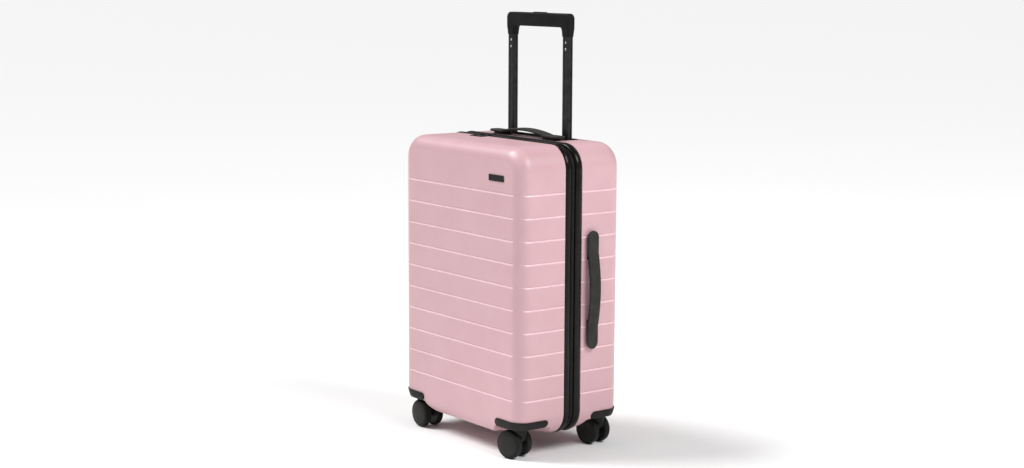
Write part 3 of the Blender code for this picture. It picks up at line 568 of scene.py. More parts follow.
def groove_heights():
    """Heights of the grooves' middles."""
    return [sizes().groove_first + sizes().groove_pitch * index for index in range(sizes().groove_count)]


def level_rows(grooved):
    """Heights of the mesh rows between the bottom and the top corners, close together at a groove."""
    low = SHELL_BOTTOM + sizes().corner_radius
    high = SHELL_TOP - sizes().corner_radius
    if not grooved:
        return [low + (high - low) * step / 12 for step in range(13)]
    half = sizes().groove_width / 2
    shares = (-1.6, -1.2, -0.95, -0.75, -0.5, -0.25, 0.0, 0.15, 0.3, 0.45, 0.6, 0.75, 0.9, 1.0, 1.2, 1.6)
    rows = {low, high}
    for middle in groove_heights():
        rows.update(middle + half * share for share in shares)
        rows.add(middle + sizes().groove_pitch / 2)
    rows.add((low + groove_heights()[0]) / 2)
    return sorted(row for row in rows if low <= row <= high)


GROOVE_DEEPEST, GROOVE_FOOT = 0.15, -0.95


def groove_offset(height):
    """Where a height lies in the nearest groove: -1 at its lower edge, 1 at its upper edge."""
    return min((height - middle for middle in groove_heights()), key=abs) / (sizes().groove_width / 2)


def groove_share(height):
    """Depth of the nearest groove at a height, from 0 to 1: steep above, with a sloped lip below."""
    offset = groove_offset(height)
    if offset > GROOVE_DEEPEST:
        return 1 - smooth_step(offset, GROOVE_DEEPEST, 1.0)
    return max(0.0, (offset - GROOVE_FOOT) / (GROOVE_DEEPEST - GROOVE_FOOT)) ** 1.4


def smooth_step(value, start, end):
    """0 before start, 1 after end, smooth between."""
    share = min(1.0, max(0.0, (value - start) / (end - start)))
    return share * share * (3 - 2 * share)


def groove_reach(x, y, end):
    """Share of the full depth at a place round the case: full on the flats, faint at the corners."""
    across = abs(x - CASE_X)
    from_rim = abs(y - RIM_Y[end])
    from_face = abs(FACE_Y[end] - y)
    on_face = 1 - smooth_step(across, HALF_WIDTH - 29 * MM, HALF_WIDTH - 17 * MM)
    on_side = smooth_step(from_face, 10 * MM, 20 * MM) * smooth_step(from_rim, 2.5 * MM, 7 * MM)
    corner = 0.16 * smooth_step(from_face, 1.0 * MM, 6 * MM)
    on_side = on_side if across > HALF_WIDTH - 10 * MM else 0.0
    return max(on_face if from_face < 8 * MM else 0.0, on_side, corner if from_rim > 7 * MM else 0.0)


def half_form(end, inset=0.0, rim_y=None, grooved=False):
    """A closed solid with the outer form of one half of the case."""
    rim_y = RIM_Y[end] if rim_y is None else rim_y
    steps = stations(end, inset, rim_y)
    mesh = bmesh.new()
    straight_rows(mesh, end, steps, grooved)
    for stretch in (0, 1):
        rings = [[mesh.verts.new((x, y, z)) for x, z in outline(draw_in)[stretch]] for draw_in, y in steps]
        for near, far in zip(rings, rings[1:]):
            for index in range(len(near) - 1):
                mesh.faces.new((near[index], near[index + 1], far[index + 1], far[index]))
        mesh.faces.new(rings[-1])
    bmesh.ops.remove_doubles(mesh, verts=mesh.verts, dist=0.00002)
    rim = [edge for edge in mesh.edges if edge.is_boundary
           and all(abs(vert.co.y - rim_y) < 1e-6 for vert in edge.verts)]
    bmesh.ops.contextual_create(mesh, geom=rim)
    bmesh.ops.recalc_face_normals(mesh, faces=mesh.faces)
    return mesh


def straight_rows(mesh, end, steps, grooved):
    """The stretch between the corners: each row runs from one rim round the face to the other."""
    face_half = HALF_WIDTH - steps[-1][0]
    face_columns = 26
    columns = [(HALF_WIDTH - draw_in, y) for draw_in, y in steps]
    columns += [(face_half - 2 * face_half * index / face_columns, steps[-1][1])
                for index in range(1, face_columns)]
    columns += [(-(HALF_WIDTH - draw_in), y) for draw_in, y in reversed(steps)]
    normals = column_normals(columns, end)
    rows = []
    for height in level_rows(grooved):
        depth = groove_share(height) * sizes().groove_depth if grooved else 0.0
        row = []
        for (x, y), (normal_x, normal_y) in zip(columns, normals):
            sink = depth * groove_reach(CASE_X + x, y, end) if depth else 0.0
            row.append(mesh.verts.new((CASE_X + x - normal_x * sink, y - normal_y * sink, height)))
        rows.append(row)
    for low, high in zip(rows, rows[1:]):
        for index in range(len(low) - 1):
            mesh.faces.new((low[index], low[index + 1], high[index + 1], high[index]))


def column_normals(columns, end):
    """Outward directions along a row, from the rounded plan."""
    radius = sizes().edge_radius
    centre_x = HALF_WIDTH - radius
    centre_y = FACE_Y[end] - end * radius
    normals = []
    for x, y in columns:
        across = max(0.0, abs(x) - centre_x)
        along = max(0.0, (y - centre_y) * end)
        length = math.hypot(across, along) or 1.0
        normals.append((math.copysign(across / length, x), end * along / length))
    return normals


def pocket_form(side, end, grow=0.0, steps=72):
    """A wheel pocket about a lower corner of the case, with its flared lip."""
    ceiling, well, ledge_low = 69 * MM, 60 * MM, 54.8 * MM
    lip_low, mouth, flare = 31 * MM, 72.5 * MM, 39.5 * MM
    points = [(0, ceiling + grow), (well + grow, ceiling + grow), (well + grow, 57.4 * MM + grow),
              (64 * MM + grow, 56.0 * MM + grow), (70 * MM + grow, 55.4 * MM + grow)]
    flare_steps, flare_power, below_floor = 14, 1.35, -10 * MM
    for index in range(flare_steps + 1):
        share = index / flare_steps
        drop = (ledge_low - lip_low) * share
        points.append((mouth + flare * share ** flare_power + grow, ledge_low - drop + grow * 0.5))
    points += [(mouth + flare + grow, below_floor), (0, below_floor)]
    place = Matrix.Translation((CASE_X + side * HALF_WIDTH, FACE_Y[end], 0))
    mesh = spun(points, steps, place)
    bmesh.ops.recalc_face_normals(mesh, faces=mesh.faces)
    return mesh


def node_hole(node, clearance, low=None, high=None, radius=0.0, axis="z"):
    """A box tool round a CAD node, grown by a clearance; low and high replace its z limits."""
    near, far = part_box(node)
    near = near - Vector((clearance,) * 3)
    far = far + Vector((clearance,) * 3)
    if low is not None:
        near.z = low
    if high is not None:
        far.z = high
    return block(far - near, (near + far) / 2, axis if radius else None, radius)


# ---------------------------------------------------------------- shells, beads and zip

def build_shell(name, end):
    """One grooved half with its wheel pockets and its openings."""
    wall = sizes().wall
    body = add_piece(name, half_form(end, grooved=True), finishes()["shell"])
    hollow = add_tool(half_form(end, wall, RIM_Y[end] - end * 2 * MM))
    for side in (-1, 1):
        combine(body, pocket_form(side, end))
        combine(hollow, pocket_form(side, end, wall))
    combine(body, hollow)
    for tool in shell_openings(end):
        combine(body, tool)
    settle(body, 50.0)
    level = body.modifiers.new("even_shading", "WEIGHTED_NORMAL")
    level.keep_sharp = True
    return paint_lip_highlights(settle(body, None))


def paint_lip_highlights(shell):
    """Gives the sloped lower lip of every groove a glossier finish in a paler pink; the paler pink is a
    painted highlight.
    """
    shell.data.materials.append(finishes()["lip"])
    for face in shell.data.polygons:
        offset = groove_offset(face.center.z)
        # Up-facing faces of each lower lip get the lip finish with its painted highlight.
        if GROOVE_FOOT < offset < GROOVE_DEEPEST and 0.1 < face.normal.z < 0.9:
            face.material_index = 1
    return shell


def shell_openings(end):
    """Tools for what is let into a half: lock, cup and handle mounts."""
    clearance = 0.3 * MM
    if end < 0:
        return [node_hole("lock_body", clearance, radius=2 * MM)]
    low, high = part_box("trolley_cup")
    flange = 3 * MM
    cup = block((high.x - low.x - 2 * flange + 2 * clearance,
                 high.y - low.y - 2 * flange + 2 * clearance, 20 * MM),
                ((low.x + high.x) / 2, (low.y + high.y) / 2, SHELL_TOP), "z", 6 * MM)
    mounts = [node_hole(handle + "_mount_" + label, clearance)
              for handle in ("side_handle", "top_handle") for label in "ab"]
    return [cup] + mounts


def band(name, finish, section, body, stands_for, closed=True):
    """Sweeps a section of (y, outset) points round the case's outline."""
    mesh = bmesh.new()
    loops = []
    for y, outset in section:
        over, under = outline(-outset, (20, 20))
        loops.append([mesh.verts.new((x, y, z)) for x, z in over + under])
    pairs = list(zip(loops, loops[1:]))
    if closed:
        pairs.append((loops[-1], loops[0]))
    for near, far in pairs:
        for index in range(len(near)):
            after = (index + 1) % len(near)
            mesh.faces.new((near[index], near[after], far[after], far[index]))
    bmesh.ops.remove_doubles(mesh, verts=mesh.verts, dist=0.00001)
    bmesh.ops.recalc_face_normals(mesh, faces=mesh.faces)
    return finish_piece(add_piece(name, mesh, finish), body, stands_for)


def bead_section(low, high):
    """A bulging bead: a half ellipse outside, straight legs and a flat foot inside."""
    middle, half = (low + high) / 2, (high - low) / 2
    proud, shoulder, foot = sizes().bead_proud, -2.6 * MM, -6 * MM
    steps = 16
    points = [(low, foot)]
    for index in range(steps + 1):
        angle = math.pi * (1 - index / steps)
        lift = abs(math.sin(angle)) ** 0.85
        points.append((middle + half * math.cos(angle), shoulder + (proud - shoulder) * lift))
    points.append((high, foot))
    return points


def zip_teeth(name, end, body):
    """One row of moulded teeth along the edge of a tape, on every tooth pitch of the outline."""
    over, under = outline(-tape_outset(), (40, 60))
    loop = over + under[1:]
    mesh = bmesh.new()
    middle = (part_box("front_zip_tape")[1].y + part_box("rear_zip_tape")[0].y) / 2
    for x, z, along_x, along_z in even_walk(loop, sizes().tooth_pitch, 0.5 if end > 0 else 0.0):
        outward = Vector((along_z, 0, -along_x))
        along = Vector((along_x, 0, along_z))
        centre = Vector((x, middle + end * 1.2 * MM, z)) + outward * 0.9 * MM
        basis = Matrix((along, Vector((0, 1, 0)), outward)).transposed().to_4x4()
        place = Matrix.Translation(centre) @ basis
        size = Matrix.Diagonal((1.25 * MM, 2.9 * MM, 1.3 * MM, 1))
        bmesh.ops.create_cube(mesh, size=1.0, matrix=place @ size)
    bmesh.ops.recalc_face_normals(mesh, faces=mesh.faces)
    return finish_piece(add_piece(name, mesh, finishes()["nylon"]), body)


def tape_outset():
    """How far the tapes stand from the outline; negative because they lie below it."""
    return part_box("front_zip_tape")[1].z - SHELL_TOP


def even_walk(loop, pitch, phase):
    """Points at an even pitch along a closed outline, with the direction of travel."""
    lengths = [math.dist(first, second) for first, second in zip(loop, loop[1:] + loop[:1])]
    count = int(sum(lengths) / pitch)
    step = sum(lengths) / count
    index, start = 0, 0.0
    for tooth in range(count):
        target = (tooth + phase) * step
        while start + lengths[index] < target and index < len(loop) - 1:
            start += lengths[index]
            index += 1
        first, second = Vector(loop[index]), Vector(loop[(index + 1) % len(loop)])
        share = (target - start) / lengths[index]
        point = first.lerp(second, share)
        run = (second - first).normalized()
        yield point.x, point.y, run.x, run.y


# ---------------------------------------------------------------- guards and casters

def pill_bar(length, depth, low, high, place):
    """A bar along X from x = 0, drawn along Y, with a half-round end at x = 0."""
    radius = (high - low) / 2
    points = [(length, low), (length, high)]
    points += [(x, z) for x, z in arc((radius, low + radius), radius, 90, 270, 16)]
    mesh = bmesh.new()
    base = mesh.faces.new([mesh.verts.new((x, 0, z)) for x, z in points])
    drawn = bmesh.ops.extrude_face_region(mesh, geom=[base])
    raised = [item for item in drawn["geom"] if isinstance(item, bmesh.types.BMVert)]
    bmesh.ops.translate(mesh, verts=raised, vec=(0, depth, 0))
    bmesh.ops.transform(mesh, matrix=place, verts=mesh.verts)
    bmesh.ops.recalc_face_normals(mesh, faces=mesh.faces)
    return mesh


def build_guard(corner):
    """A corner guard that hugs the shell: two round-ended arms, a plate and the caster's boss."""
    side, end = CORNERS[corner]
    name = "guard_" + corner
    low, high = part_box(name)
    proud = 2 * MM
    corner_x = CASE_X + side * HALF_WIDTH
    corner_y = FACE_Y[end]
    overhang, arm_depth = 10 * MM, 45 * MM
    reach_x, reach_y = 70 * MM, 64.5 * MM
    body = add_piece(name + "_cover", half_form(end, -proud, end * 1 * MM), finishes()["plastic"])
    combine(body, half_form(end, -0.3 * MM, end * 0.5 * MM))
    face_arm = (Matrix.Translation((corner_x - side * reach_x, corner_y - end * arm_depth, 0))
                @ Matrix.Diagonal((side, end, 1, 1)))
    side_arm = (Matrix.Translation((corner_x - side * arm_depth, corner_y - end * reach_y, 0))
                @ Matrix(((0, side, 0, 0), (end, 0, 0, 0), (0, 0, 1, 0), (0, 0, 0, 1))))
    window = add_tool(pill_bar(reach_x + overhang, overhang + arm_depth, low.z, high.z, face_arm))
    combine(window, pill_bar(reach_y + overhang, overhang + arm_depth, low.z, high.z, side_arm), "UNION")
    combine(body, window, "INTERSECT")
    plate = add_tool(half_form(end, -proud / 2, end * 1 * MM))
    well, boss, pin_bore = 59.4 * MM, 13.5 * MM, 4.4 * MM
    swivel = Vector(JOINTS["swivel_" + corner]["pos_m"])
    combine(plate, cylinder(well, (corner_x, corner_y, low.z), (corner_x, corner_y, 60 * MM), 72),
            "INTERSECT")
    combine(body, plate, "UNION")
    combine(body, cylinder(boss, (swivel.x, swivel.y, low.z + 1 * MM),
                           (swivel.x, swivel.y, high.z - 1.6 * MM)), "UNION")
    combine(body, cylinder(pin_bore, (swivel.x, swivel.y, 0.05), (swivel.x, swivel.y, 0.08)))
    settle_soft(body, 0.7 * MM, 2, 45.0)
    return finish_piece(body, HALF_BODY[end], (name,))


def wheel_profile():
    """Half section of a wheel about its axle: domed disc, rim step, rounded tread, open inner side."""
    radius, face, inner = 25.5 * MM, 21.0 * MM, 7.4 * MM
    points = [(0, face + 0.6 * MM), (6 * MM, face + 0.55 * MM), (12 * MM, face + 0.4 * MM),
              (16 * MM, face + 0.15 * MM), (19.5 * MM, face - 0.4 * MM), (20.6 * MM, face - 0.75 * MM),
              (20.9 * MM, face - 1.2 * MM), (21.3 * MM, face - 1.2 * MM), (21.6 * MM, face - 0.85 * MM)]
    corner = 3.9 * MM
    points += arc((radius - corner, face - 0.9 * MM - corner), corner, 88, 0, 9)
    points += arc((radius - 3 * MM, inner + 3 * MM), 3 * MM, 0, -80, 7)
    points += [(20.5 * MM, inner + 1.2 * MM), (8.5 * MM, inner + 1.2 * MM), (7.4 * MM, inner + 0.3 * MM),
               (7 * MM, inner), (2.8 * MM, inner), (2.8 * MM, 18.1 * MM), (0, 18.1 * MM)]
    return points


def build_wheel(label, corner, direction):
    """A wheel on its axle; direction is its outer side along the axle."""
    name = "wheel_" + label + "_" + corner
    joint = JOINTS["spin_" + label + "_" + corner]
    axis = Vector(joint["axis"]) * direction
    turn = axis.to_track_quat("Z", "Y").to_matrix().to_4x4()
    mesh = spun(wheel_profile(), 64, Matrix.Translation(joint["pos_m"]) @ turn)
    bmesh.ops.recalc_face_normals(mesh, faces=mesh.faces)
    made = add_piece(name + "_disc", mesh, finishes()["wheel"], 28.0)
    made.data.materials.append(finishes()["tread"])
    centre = Vector(joint["pos_m"])
    for face in made.data.polygons:
        out = Vector(face.center) - centre
        along = out.dot(axis)
        across = (out - axis * along).length
        if across > 21.4 * MM and along < 20.2 * MM:
            face.material_index = 1
    return finish_piece(made, name, (name,))


def outer_direction(node, joint):
    """Which way along its axle a wheel's outer face looks."""
    low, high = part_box(node)
    middle = (low + high) / 2 - Vector(joint["pos_m"])
    return 1 if middle.dot(Vector(joint["axis"])) > 0 else -1


def fork_outline():
    """Side view of a fork's web about the swivel axis, trailing towards -X."""
    boss = (-9.5 * MM, 25.5 * MM)
    points = arc((-11 * MM, 53.2 * MM), 1.5 * MM, 170, 90, 4)
    points += arc((9.5 * MM, 53.2 * MM), 1.5 * MM, 90, 10, 4)
    points += [(11.5 * MM, 47 * MM)]
    points += arc((8.5 * MM, 33.5 * MM), 3 * MM, 0, -50, 4)
    points += arc(boss, 8.5 * MM, -25, -180, 18)
    points += [(boss[0] - 8.5 * MM, 36 * MM), (-16.9 * MM, 41 * MM), (-16 * MM, 46 * MM)]
    return points


def hood_form(place):
    """The fork's shoulders: round under the crown, drawn in to the web lower down."""
    # Height, half length, half width and forward shift, in mm
    levels = ((54.4, 14.6, 14.6, 0.0), (50.0, 14.4, 14.2, 0.2), (46.0, 13.8, 13.2, 0.6),
              (42.0, 12.8, 11.4, 1.2), (38.0, 11.6, 8.8, 1.6), (34.0, 10.4, 6.0, 1.2))
    mesh = bmesh.new()
    rings = []
    steps = 48
    for height, along, across, shift in levels:
        ring = []
        for step in range(steps):
            angle = math.tau * step / steps
            x = shift * MM + along * MM * math.cos(angle)
            ring.append(mesh.verts.new((x, across * MM * math.sin(angle), height * MM)))
        rings.append(ring)
    for near, far in zip(rings, rings[1:]):
        join_rows(mesh, near, far, steps)
    mesh.faces.new(rings[0])
    mesh.faces.new(rings[-1])
    bmesh.ops.recalc_face_normals(mesh, faces=mesh.faces)
    bmesh.ops.transform(mesh, matrix=place, verts=mesh.verts)
    return add_tool(mesh)


def build_fork(corner):
    """A caster's fork: a web between the wheels under a round crown, and its kingpin."""
    swivel = JOINTS["swivel_" + corner]["pos_m"]
    axle = JOINTS["spin_a_" + corner]["pos_m"]
    heading = math.atan2(swivel[1] - axle[1], swivel[0] - axle[0])
    place = Matrix.Translation((swivel[0], swivel[1], 0)) @ Matrix.Rotation(heading, 4, "Z")
    upright = Matrix.Rotation(math.radians(90), 4, "X")
    half = 6.2 * MM
    web = extruded(fork_outline(), -half, half, place @ upright)
    body = add_piece("fork_" + corner + "_cover", web, finishes()["plastic"])
    crown = spun([(0, 55.2 * MM), (14.2 * MM, 55.2 * MM), (15 * MM, 54.6 * MM), (15 * MM, 53.8 * MM),
                  (13.6 * MM, 51.6 * MM), (0, 51.6 * MM)], 48, place)
    bmesh.ops.recalc_face_normals(crown, faces=crown.faces)
    combine(body, crown, "UNION")
    hood = hood_form(place)
    for side in (-1, 1):
        clear = spun([(0, 0), (26.2 * MM, 0), (26.2 * MM, 20 * MM), (0, 20 * MM)], 96,
                     place @ Matrix.Translation((-9.5 * MM, side * 6.2 * MM, 25.5 * MM))
                     @ Matrix.Rotation(math.radians(-90 * side), 4, "X"))
        bmesh.ops.recalc_face_normals(clear, faces=clear.faces)
        combine(hood, clear)
    combine(body, hood, "UNION")
    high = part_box("fork_" + corner)[1]
    combine(body, cylinder(4 * MM, (swivel[0], swivel[1], 53 * MM), (swivel[0], swivel[1], high.z)), "UNION")
    along = Vector(JOINTS["spin_a_" + corner]["axis"]) * 30 * MM
    combine(body, cylinder(2.8 * MM, Vector(axle) - along, Vector(axle) + along, 24))
    settle_soft(body, 0.9 * MM, 3, 35.0)
    return finish_piece(body, "caster_" + corner, ("fork_" + corner,))


# ---------------------------------------------------------------- trolley

def tube_section(width, depth, corner):
    """A tube's section, anticlockwise, with a shallow drawn channel down each of its four sides."""
    half_w, half_d = width / 2, depth / 2
    sink, slant = 0.7 * MM, 0.35 * MM
    points = []
    quarters = ((0, half_w, half_d), (90, half_d, half_w), (180, half_w, half_d), (270, half_d, half_w))
    for turn, across, reach in quarters:
        channel = across * 0.36
        rounding = arc((across - corner, reach - corner), corner, 0, 90, 4)[1:-1]
        side = [(across - corner, reach), (channel, reach), (channel - slant, reach - sink),
                (slant - channel, reach - sink), (-channel, reach), (corner - across, reach)]
        cosine, sine = math.cos(math.radians(turn)), math.sin(math.radians(turn))
        points += [(x * cosine - y * sine, x * sine + y * cosine) for x, y in rounding + side]
    return points


def build_tube(node, body, wall):
    """A drawn trolley tube: a hollow profile with a channel down each side."""
    low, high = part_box(node)
    middle = (low + high) / 2
    size = high - low
    place = Matrix.Translation((middle.x, middle.y, 0))
    tube = extruded(tube_section(size.x, size.y, 2.2 * MM), low.z, high.z, place)
    made = add_piece(node + "_profile", tube, finishes()["tube"], 30.0)
    bore = block((size.x - 2 * wall, size.y - 2 * wall, high.z - low.z + 20 * MM), middle)
    combine(made, bore)
    settle(made, 30.0)
    return finish_piece(made, body, (node,))


def grip_outline():
    """Front view of the grip: a bar with two legs, round outside and inside the corners."""
    low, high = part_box("grip")
    middle = (low.x + high.x) / 2
    half = (high.x - low.x) / 2
    leg, bar = 22 * MM, 25 * MM
    outer, inner = 10 * MM, 5 * MM
    under = high.z - bar
    right, left = middle + half, middle - half
    points = [(right, low.z)]
    points += arc((right - outer, high.z - outer), outer, 0, 90, 12)
    points += arc((left + outer, high.z - outer), outer, 90, 180, 12)
    points += [(left, low.z), (left + leg, low.z)]
    points += arc((left + leg + inner, under - inner), inner, 180, 90, 10)
    points += arc((right - leg - inner, under - inner), inner, 90, 0, 10)
    points += [(right - leg, low.z)]
    return points


def draw_in_legs(body, middle_y):
    """Narrows the grip's legs, in width and in depth, until they nearly meet the tubes."""
    low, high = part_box("grip")
    tube_low, tube_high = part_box("inner_tube_right")
    tube_x = (tube_low.x + tube_high.x) / 2
    lip = 0.9 * MM
    full = high - low
    tube = tube_high - tube_low
    top = high.z - 23 * MM
    share_x = (tube.x + 2 * lip) / (22 * MM)
    share_y = (tube.y + 2 * lip) / full.y
    mesh = bmesh.new()
    mesh.from_mesh(body.data)
    for step in range(1, 10):
        height = low.z + (top - low.z) * step / 10
        bmesh.ops.bisect_plane(mesh, geom=mesh.verts[:] + mesh.edges[:] + mesh.faces[:], dist=1e-6,
                               plane_co=(0, 0, height), plane_no=(0, 0, 1))
    for vert in mesh.verts:
        share = smooth_step(-vert.co.z, -top, -(low.z + 1.5 * MM))
        leg = math.copysign(tube_x - CASE_X, vert.co.x - CASE_X) + CASE_X
        vert.co.x = leg + (vert.co.x - leg) * (1 - share * (1 - share_x))
        vert.co.y = middle_y + (vert.co.y - middle_y) * (1 - share * (1 - share_y))
    mesh.to_mesh(body.data)
    mesh.free()


def build_grip():
    """The trolley's grip with its button well, tube sockets and parting line."""
    low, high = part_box("grip")
    middle_y = (low.y + high.y) / 2
    half_depth = (high.y - low.y) / 2
    upright = Matrix.Translation((0, middle_y, 0)) @ Matrix.Rotation(math.radians(90), 4, "X")
    form = extruded(grip_outline(), -half_depth, half_depth, upright)
    body = add_piece("grip_cover", form, finishes()["grip"])
    settle_soft(body, 3.2 * MM, 5, 60.0)
    draw_in_legs(body, middle_y)
    for side in (-1, 1):
        tube_low, tube_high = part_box("inner_tube_" + SIDE_NAME[side])
        clearance = Vector((0.3 * MM, 0.3 * MM, 0))
        opening = tube_high - tube_low + 2 * clearance
        socket = block((opening.x, opening.y, tube_high.z - low.z + 6 * MM),
                       ((tube_low.x + tube_high.x) / 2, middle_y, (tube_high.z + low.z - 6 * MM) / 2))
        combine(body, socket)
        leg_x = (tube_low.x + tube_high.x) / 2
        seam = block((30 * MM, 0.5 * MM, 0.7 * MM), (leg_x, low.y, low.z + 9 * MM))
        combine(body, seam)
    button_low, button_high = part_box("release_button")
    well = block((button_high.x - button_low.x + 0.7 * MM, button_high.y - button_low.y + 0.7 * MM, 30 * MM),
                 ((button_low.x + button_high.x) / 2, middle_y, button_low.z - 4.3 * MM + 15 * MM),
                 "z", 3.2 * MM)
    combine(body, well)
    settle(body, 40.0)
    return finish_piece(body, "trolley_top", ("grip",))


def build_button():
    """The release button: a crowned cap with three ridges."""
    _, high, size, middle = span("release_button")
    body = add_piece("release_button_cap", block(size, middle, "z", 3 * MM, 6), finishes()["plastic"])
    for offset in (-6, 0, 6):
        groove = block((1.2 * MM, size.y * 0.6, 0.8 * MM), (middle.x + offset * MM, middle.y, high.z))
        combine(body, groove)
    settle_soft(body, 0.4 * MM)
    return finish_piece(body, "trolley_button", ("release_button",))


def build_trolley_screws():
    """Two cross-head screws on the front of each inner tube, just under the grip."""
    mesh = bmesh.new()
    cuts = bmesh.new()
    head = [(0, 1.05 * MM), (1.2 * MM, 0.95 * MM), (2.0 * MM, 0.6 * MM), (2.3 * MM, 0), (0, 0)]
    for side in (-1, 1):
        low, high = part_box("inner_tube_" + SIDE_NAME[side])
        leg_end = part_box("grip")[0].z
        x = (low.x + high.x) / 2
        for drop in (9 * MM, 21 * MM):
            place = (Matrix.Translation((x, low.y + 0.75 * MM, leg_end - drop))
                     @ Matrix.Rotation(math.radians(90), 4, "X"))
            merge(mesh, spun(head, 24, place))
            for turn in (0, 90):
                slot = block((2.6 * MM, 0.5 * MM, 1.0 * MM))
                bmesh.ops.transform(slot, verts=slot.verts,
                                    matrix=place @ Matrix.Translation((0, 0, 1.1 * MM))
                                    @ Matrix.Rotation(math.radians(turn + 20), 4, "Z"))
                merge(cuts, slot)
    bmesh.ops.recalc_face_normals(mesh, faces=mesh.faces)
    body = add_piece("trolley_screws", mesh, finishes()["steel"])
    combine(body, cuts)
    body.modifiers[0].use_self = True
    settle(body, 40.0)
    return finish_piece(body, "trolley_top")


# ---------------------------------------------------------------- carry handles, lock, badge

def strap_mesh(length, width, thickness, pad_face, bow, pad_length):
    """A bowed strap along X over z = 0, with round ends and a crease between pad and bow."""
    half = length / 2
    stations_count = 96
    around = 20
    mesh = bmesh.new()
    rings = []
    for index in range(stations_count + 1):
        share = 2 * index / stations_count - 1
        along = half * math.copysign(1 - (1 - abs(share)) ** 1.7, share)
        past = max(0.0, abs(along) - (half - width / 2))
        narrow = math.sqrt(max(0.0, 1 - (past / (width / 2)) ** 2))
        arch = half - pad_length
        lift = bow * math.cos(math.pi / 2 * along / arch) ** 0.9 if abs(along) < arch else 0.0
        crease = 0.7 * MM * math.exp(-((abs(along) - arch) / (1.1 * MM)) ** 2)
        if narrow < 0.02:
            rings.append([mesh.verts.new((along, 0, pad_face - thickness * 0.5 + lift))])
            continue
        ring = []
        for step in range(around):
            angle = math.tau * step / around
            across = math.copysign(abs(math.cos(angle)) ** 0.42, math.cos(angle)) * width / 2 * narrow
            height = math.copysign(abs(math.sin(angle)) ** 0.55, math.sin(angle))
            crown = 0.5 * thickness * height * (0.6 + 0.4 * narrow)
            sunk = crease if height > 0 else 0.0
            ring.append(mesh.verts.new((along, across, pad_face - thickness / 2 + crown + lift - sunk)))
        rings.append(ring)
    for near, far in zip(rings, rings[1:]):
        join_rows(mesh, near, far, around)
    bmesh.ops.recalc_face_normals(mesh, faces=mesh.faces)
    return mesh


def build_handle(name, body):
    """A carry handle laid over its CAD bar, with the two stems under its ends."""
    low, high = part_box(name)
    centre = (low + high) / 2
    outward = Matrix.Identity(4)
    surface = Vector((centre.x, centre.y, SHELL_TOP))
    if name == "side_handle":
        outward = Matrix.Rotation(math.radians(90), 4, "Y")
        surface = Vector((CASE_X + HALF_WIDTH, centre.y, centre.z))
    place = Matrix.Translation(surface) @ outward
    size = high - low
    length, width = max(size), size.y
    strap = strap_mesh(length, width, 5 * MM, 8.8 * MM, 7.2 * MM, 40 * MM)
    bmesh.ops.transform(strap, matrix=place, verts=strap.verts)
    made = add_piece(name + "_strap", strap, finishes()["rubber"], 60.0)
    for side in (-1, 1):
        stem = block((7 * MM, 7 * MM, 9 * MM), (side * 74 * MM, 0, 6.3 * MM - 4.5 * MM), "z", 0.8 * MM, 2)
        bmesh.ops.transform(stem, matrix=place, verts=stem.verts)
        combine(made, stem, "UNION")
    settle(made, 60.0)
    return finish_piece(made, body, (name,))


def build_mount(handle, label):
    """The moulded mount under one end of a carry handle."""
    node = handle + "_mount_" + label
    size, middle = span(node)[2:]
    axis = "x" if handle == "side_handle" else "z"
    body = add_piece(node + "_cover", block(size, middle, axis, 5 * MM, 6), finishes()["plastic"])
    bore_size = [30 * MM if letter == axis else 7.6 * MM for letter in "xyz"]
    combine(body, block(bore_size, middle))
    settle_soft(body, 0.5 * MM)
    return finish_piece(body, "case", (node,))


def build_lock():
    """The dial lock: a softened body with its slot and release well, and the dials' shaft."""
    _, high, size, middle = span("lock_body")
    body = add_piece("lock_case", block(size, middle, "z", 2 * MM, 6), finishes()["plastic"])
    first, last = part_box("lock_dial_1"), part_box("lock_dial_3")
    slot_low, slot_high = first[0], last[1]
    slot = block((slot_high.x - slot_low.x + 1.2 * MM, slot_high.y - slot_low.y + 1.2 * MM, 20 * MM),
                 ((slot_low.x + slot_high.x) / 2, middle.y, slot_low.z - 0.6 * MM + 10 * MM))
    combine(body, slot)
    button_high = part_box("lock_release")[1]
    well = block((10.5 * MM, 6.6 * MM, 6 * MM), (button_high.x + 0.35 * MM - 5.25 * MM, middle.y, high.z))
    combine(body, well)
    settle_soft(body, 0.45 * MM)
    shaft = cylinder(1 * MM, (slot_low.x - 1.6 * MM, middle.y, (slot_low.z + slot_high.z) / 2),
                     (slot_high.x + 1.6 * MM, middle.y, (slot_low.z + slot_high.z) / 2), 20)
    finish_piece(add_piece("lock_shaft", shaft, finishes()["steel"]), "lid")
    return finish_piece(body, "lid", ("lock_body",))


def build_dial(number):
    """A number dial with ten thumb notches round its rim."""
    node = "lock_dial_" + str(number)
    low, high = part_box(node)
    middle = (low + high) / 2
    radius, half = (high.z - low.z) / 2, (high.x - low.x) / 2
    points = []
    for step in range(80):
        angle = math.tau * step / 80
        notch = 0.35 * MM * max(0.0, math.cos(10 * angle)) ** 4
        points.append(((radius - notch) * math.cos(angle), (radius - notch) * math.sin(angle)))
    place = Matrix.Translation(middle) @ Matrix.Rotation(math.radians(90), 4, "Y")
    body = add_piece(node + "_wheel", extruded(points, -half, half, place), finishes()["zinc"])
    combine(body, cylinder(1.35 * MM, middle - Vector((0.01, 0, 0)), middle + Vector((0.01, 0, 0)), 20))
    settle_soft(body, 0.25 * MM, 2, 50.0)
    return finish_piece(body, "dial_" + str(number), (node,))


def build_lock_release():
    """The lock's sliding release with grip ridges."""
    _, high, size, middle = span("lock_release")
    body = add_piece("lock_release_slide", block(size, middle, "z", 1 * MM, 4), finishes()["zinc"])
    for offset in (-1.8, -0.6, 0.6, 1.8):
        ridge = block((0.4 * MM, size.y * 0.7, 0.6 * MM), (middle.x + offset * MM, middle.y, high.z))
        combine(body, ridge)
    settle(body, 40.0)
    return finish_piece(body, "lock_button", ("lock_release",))


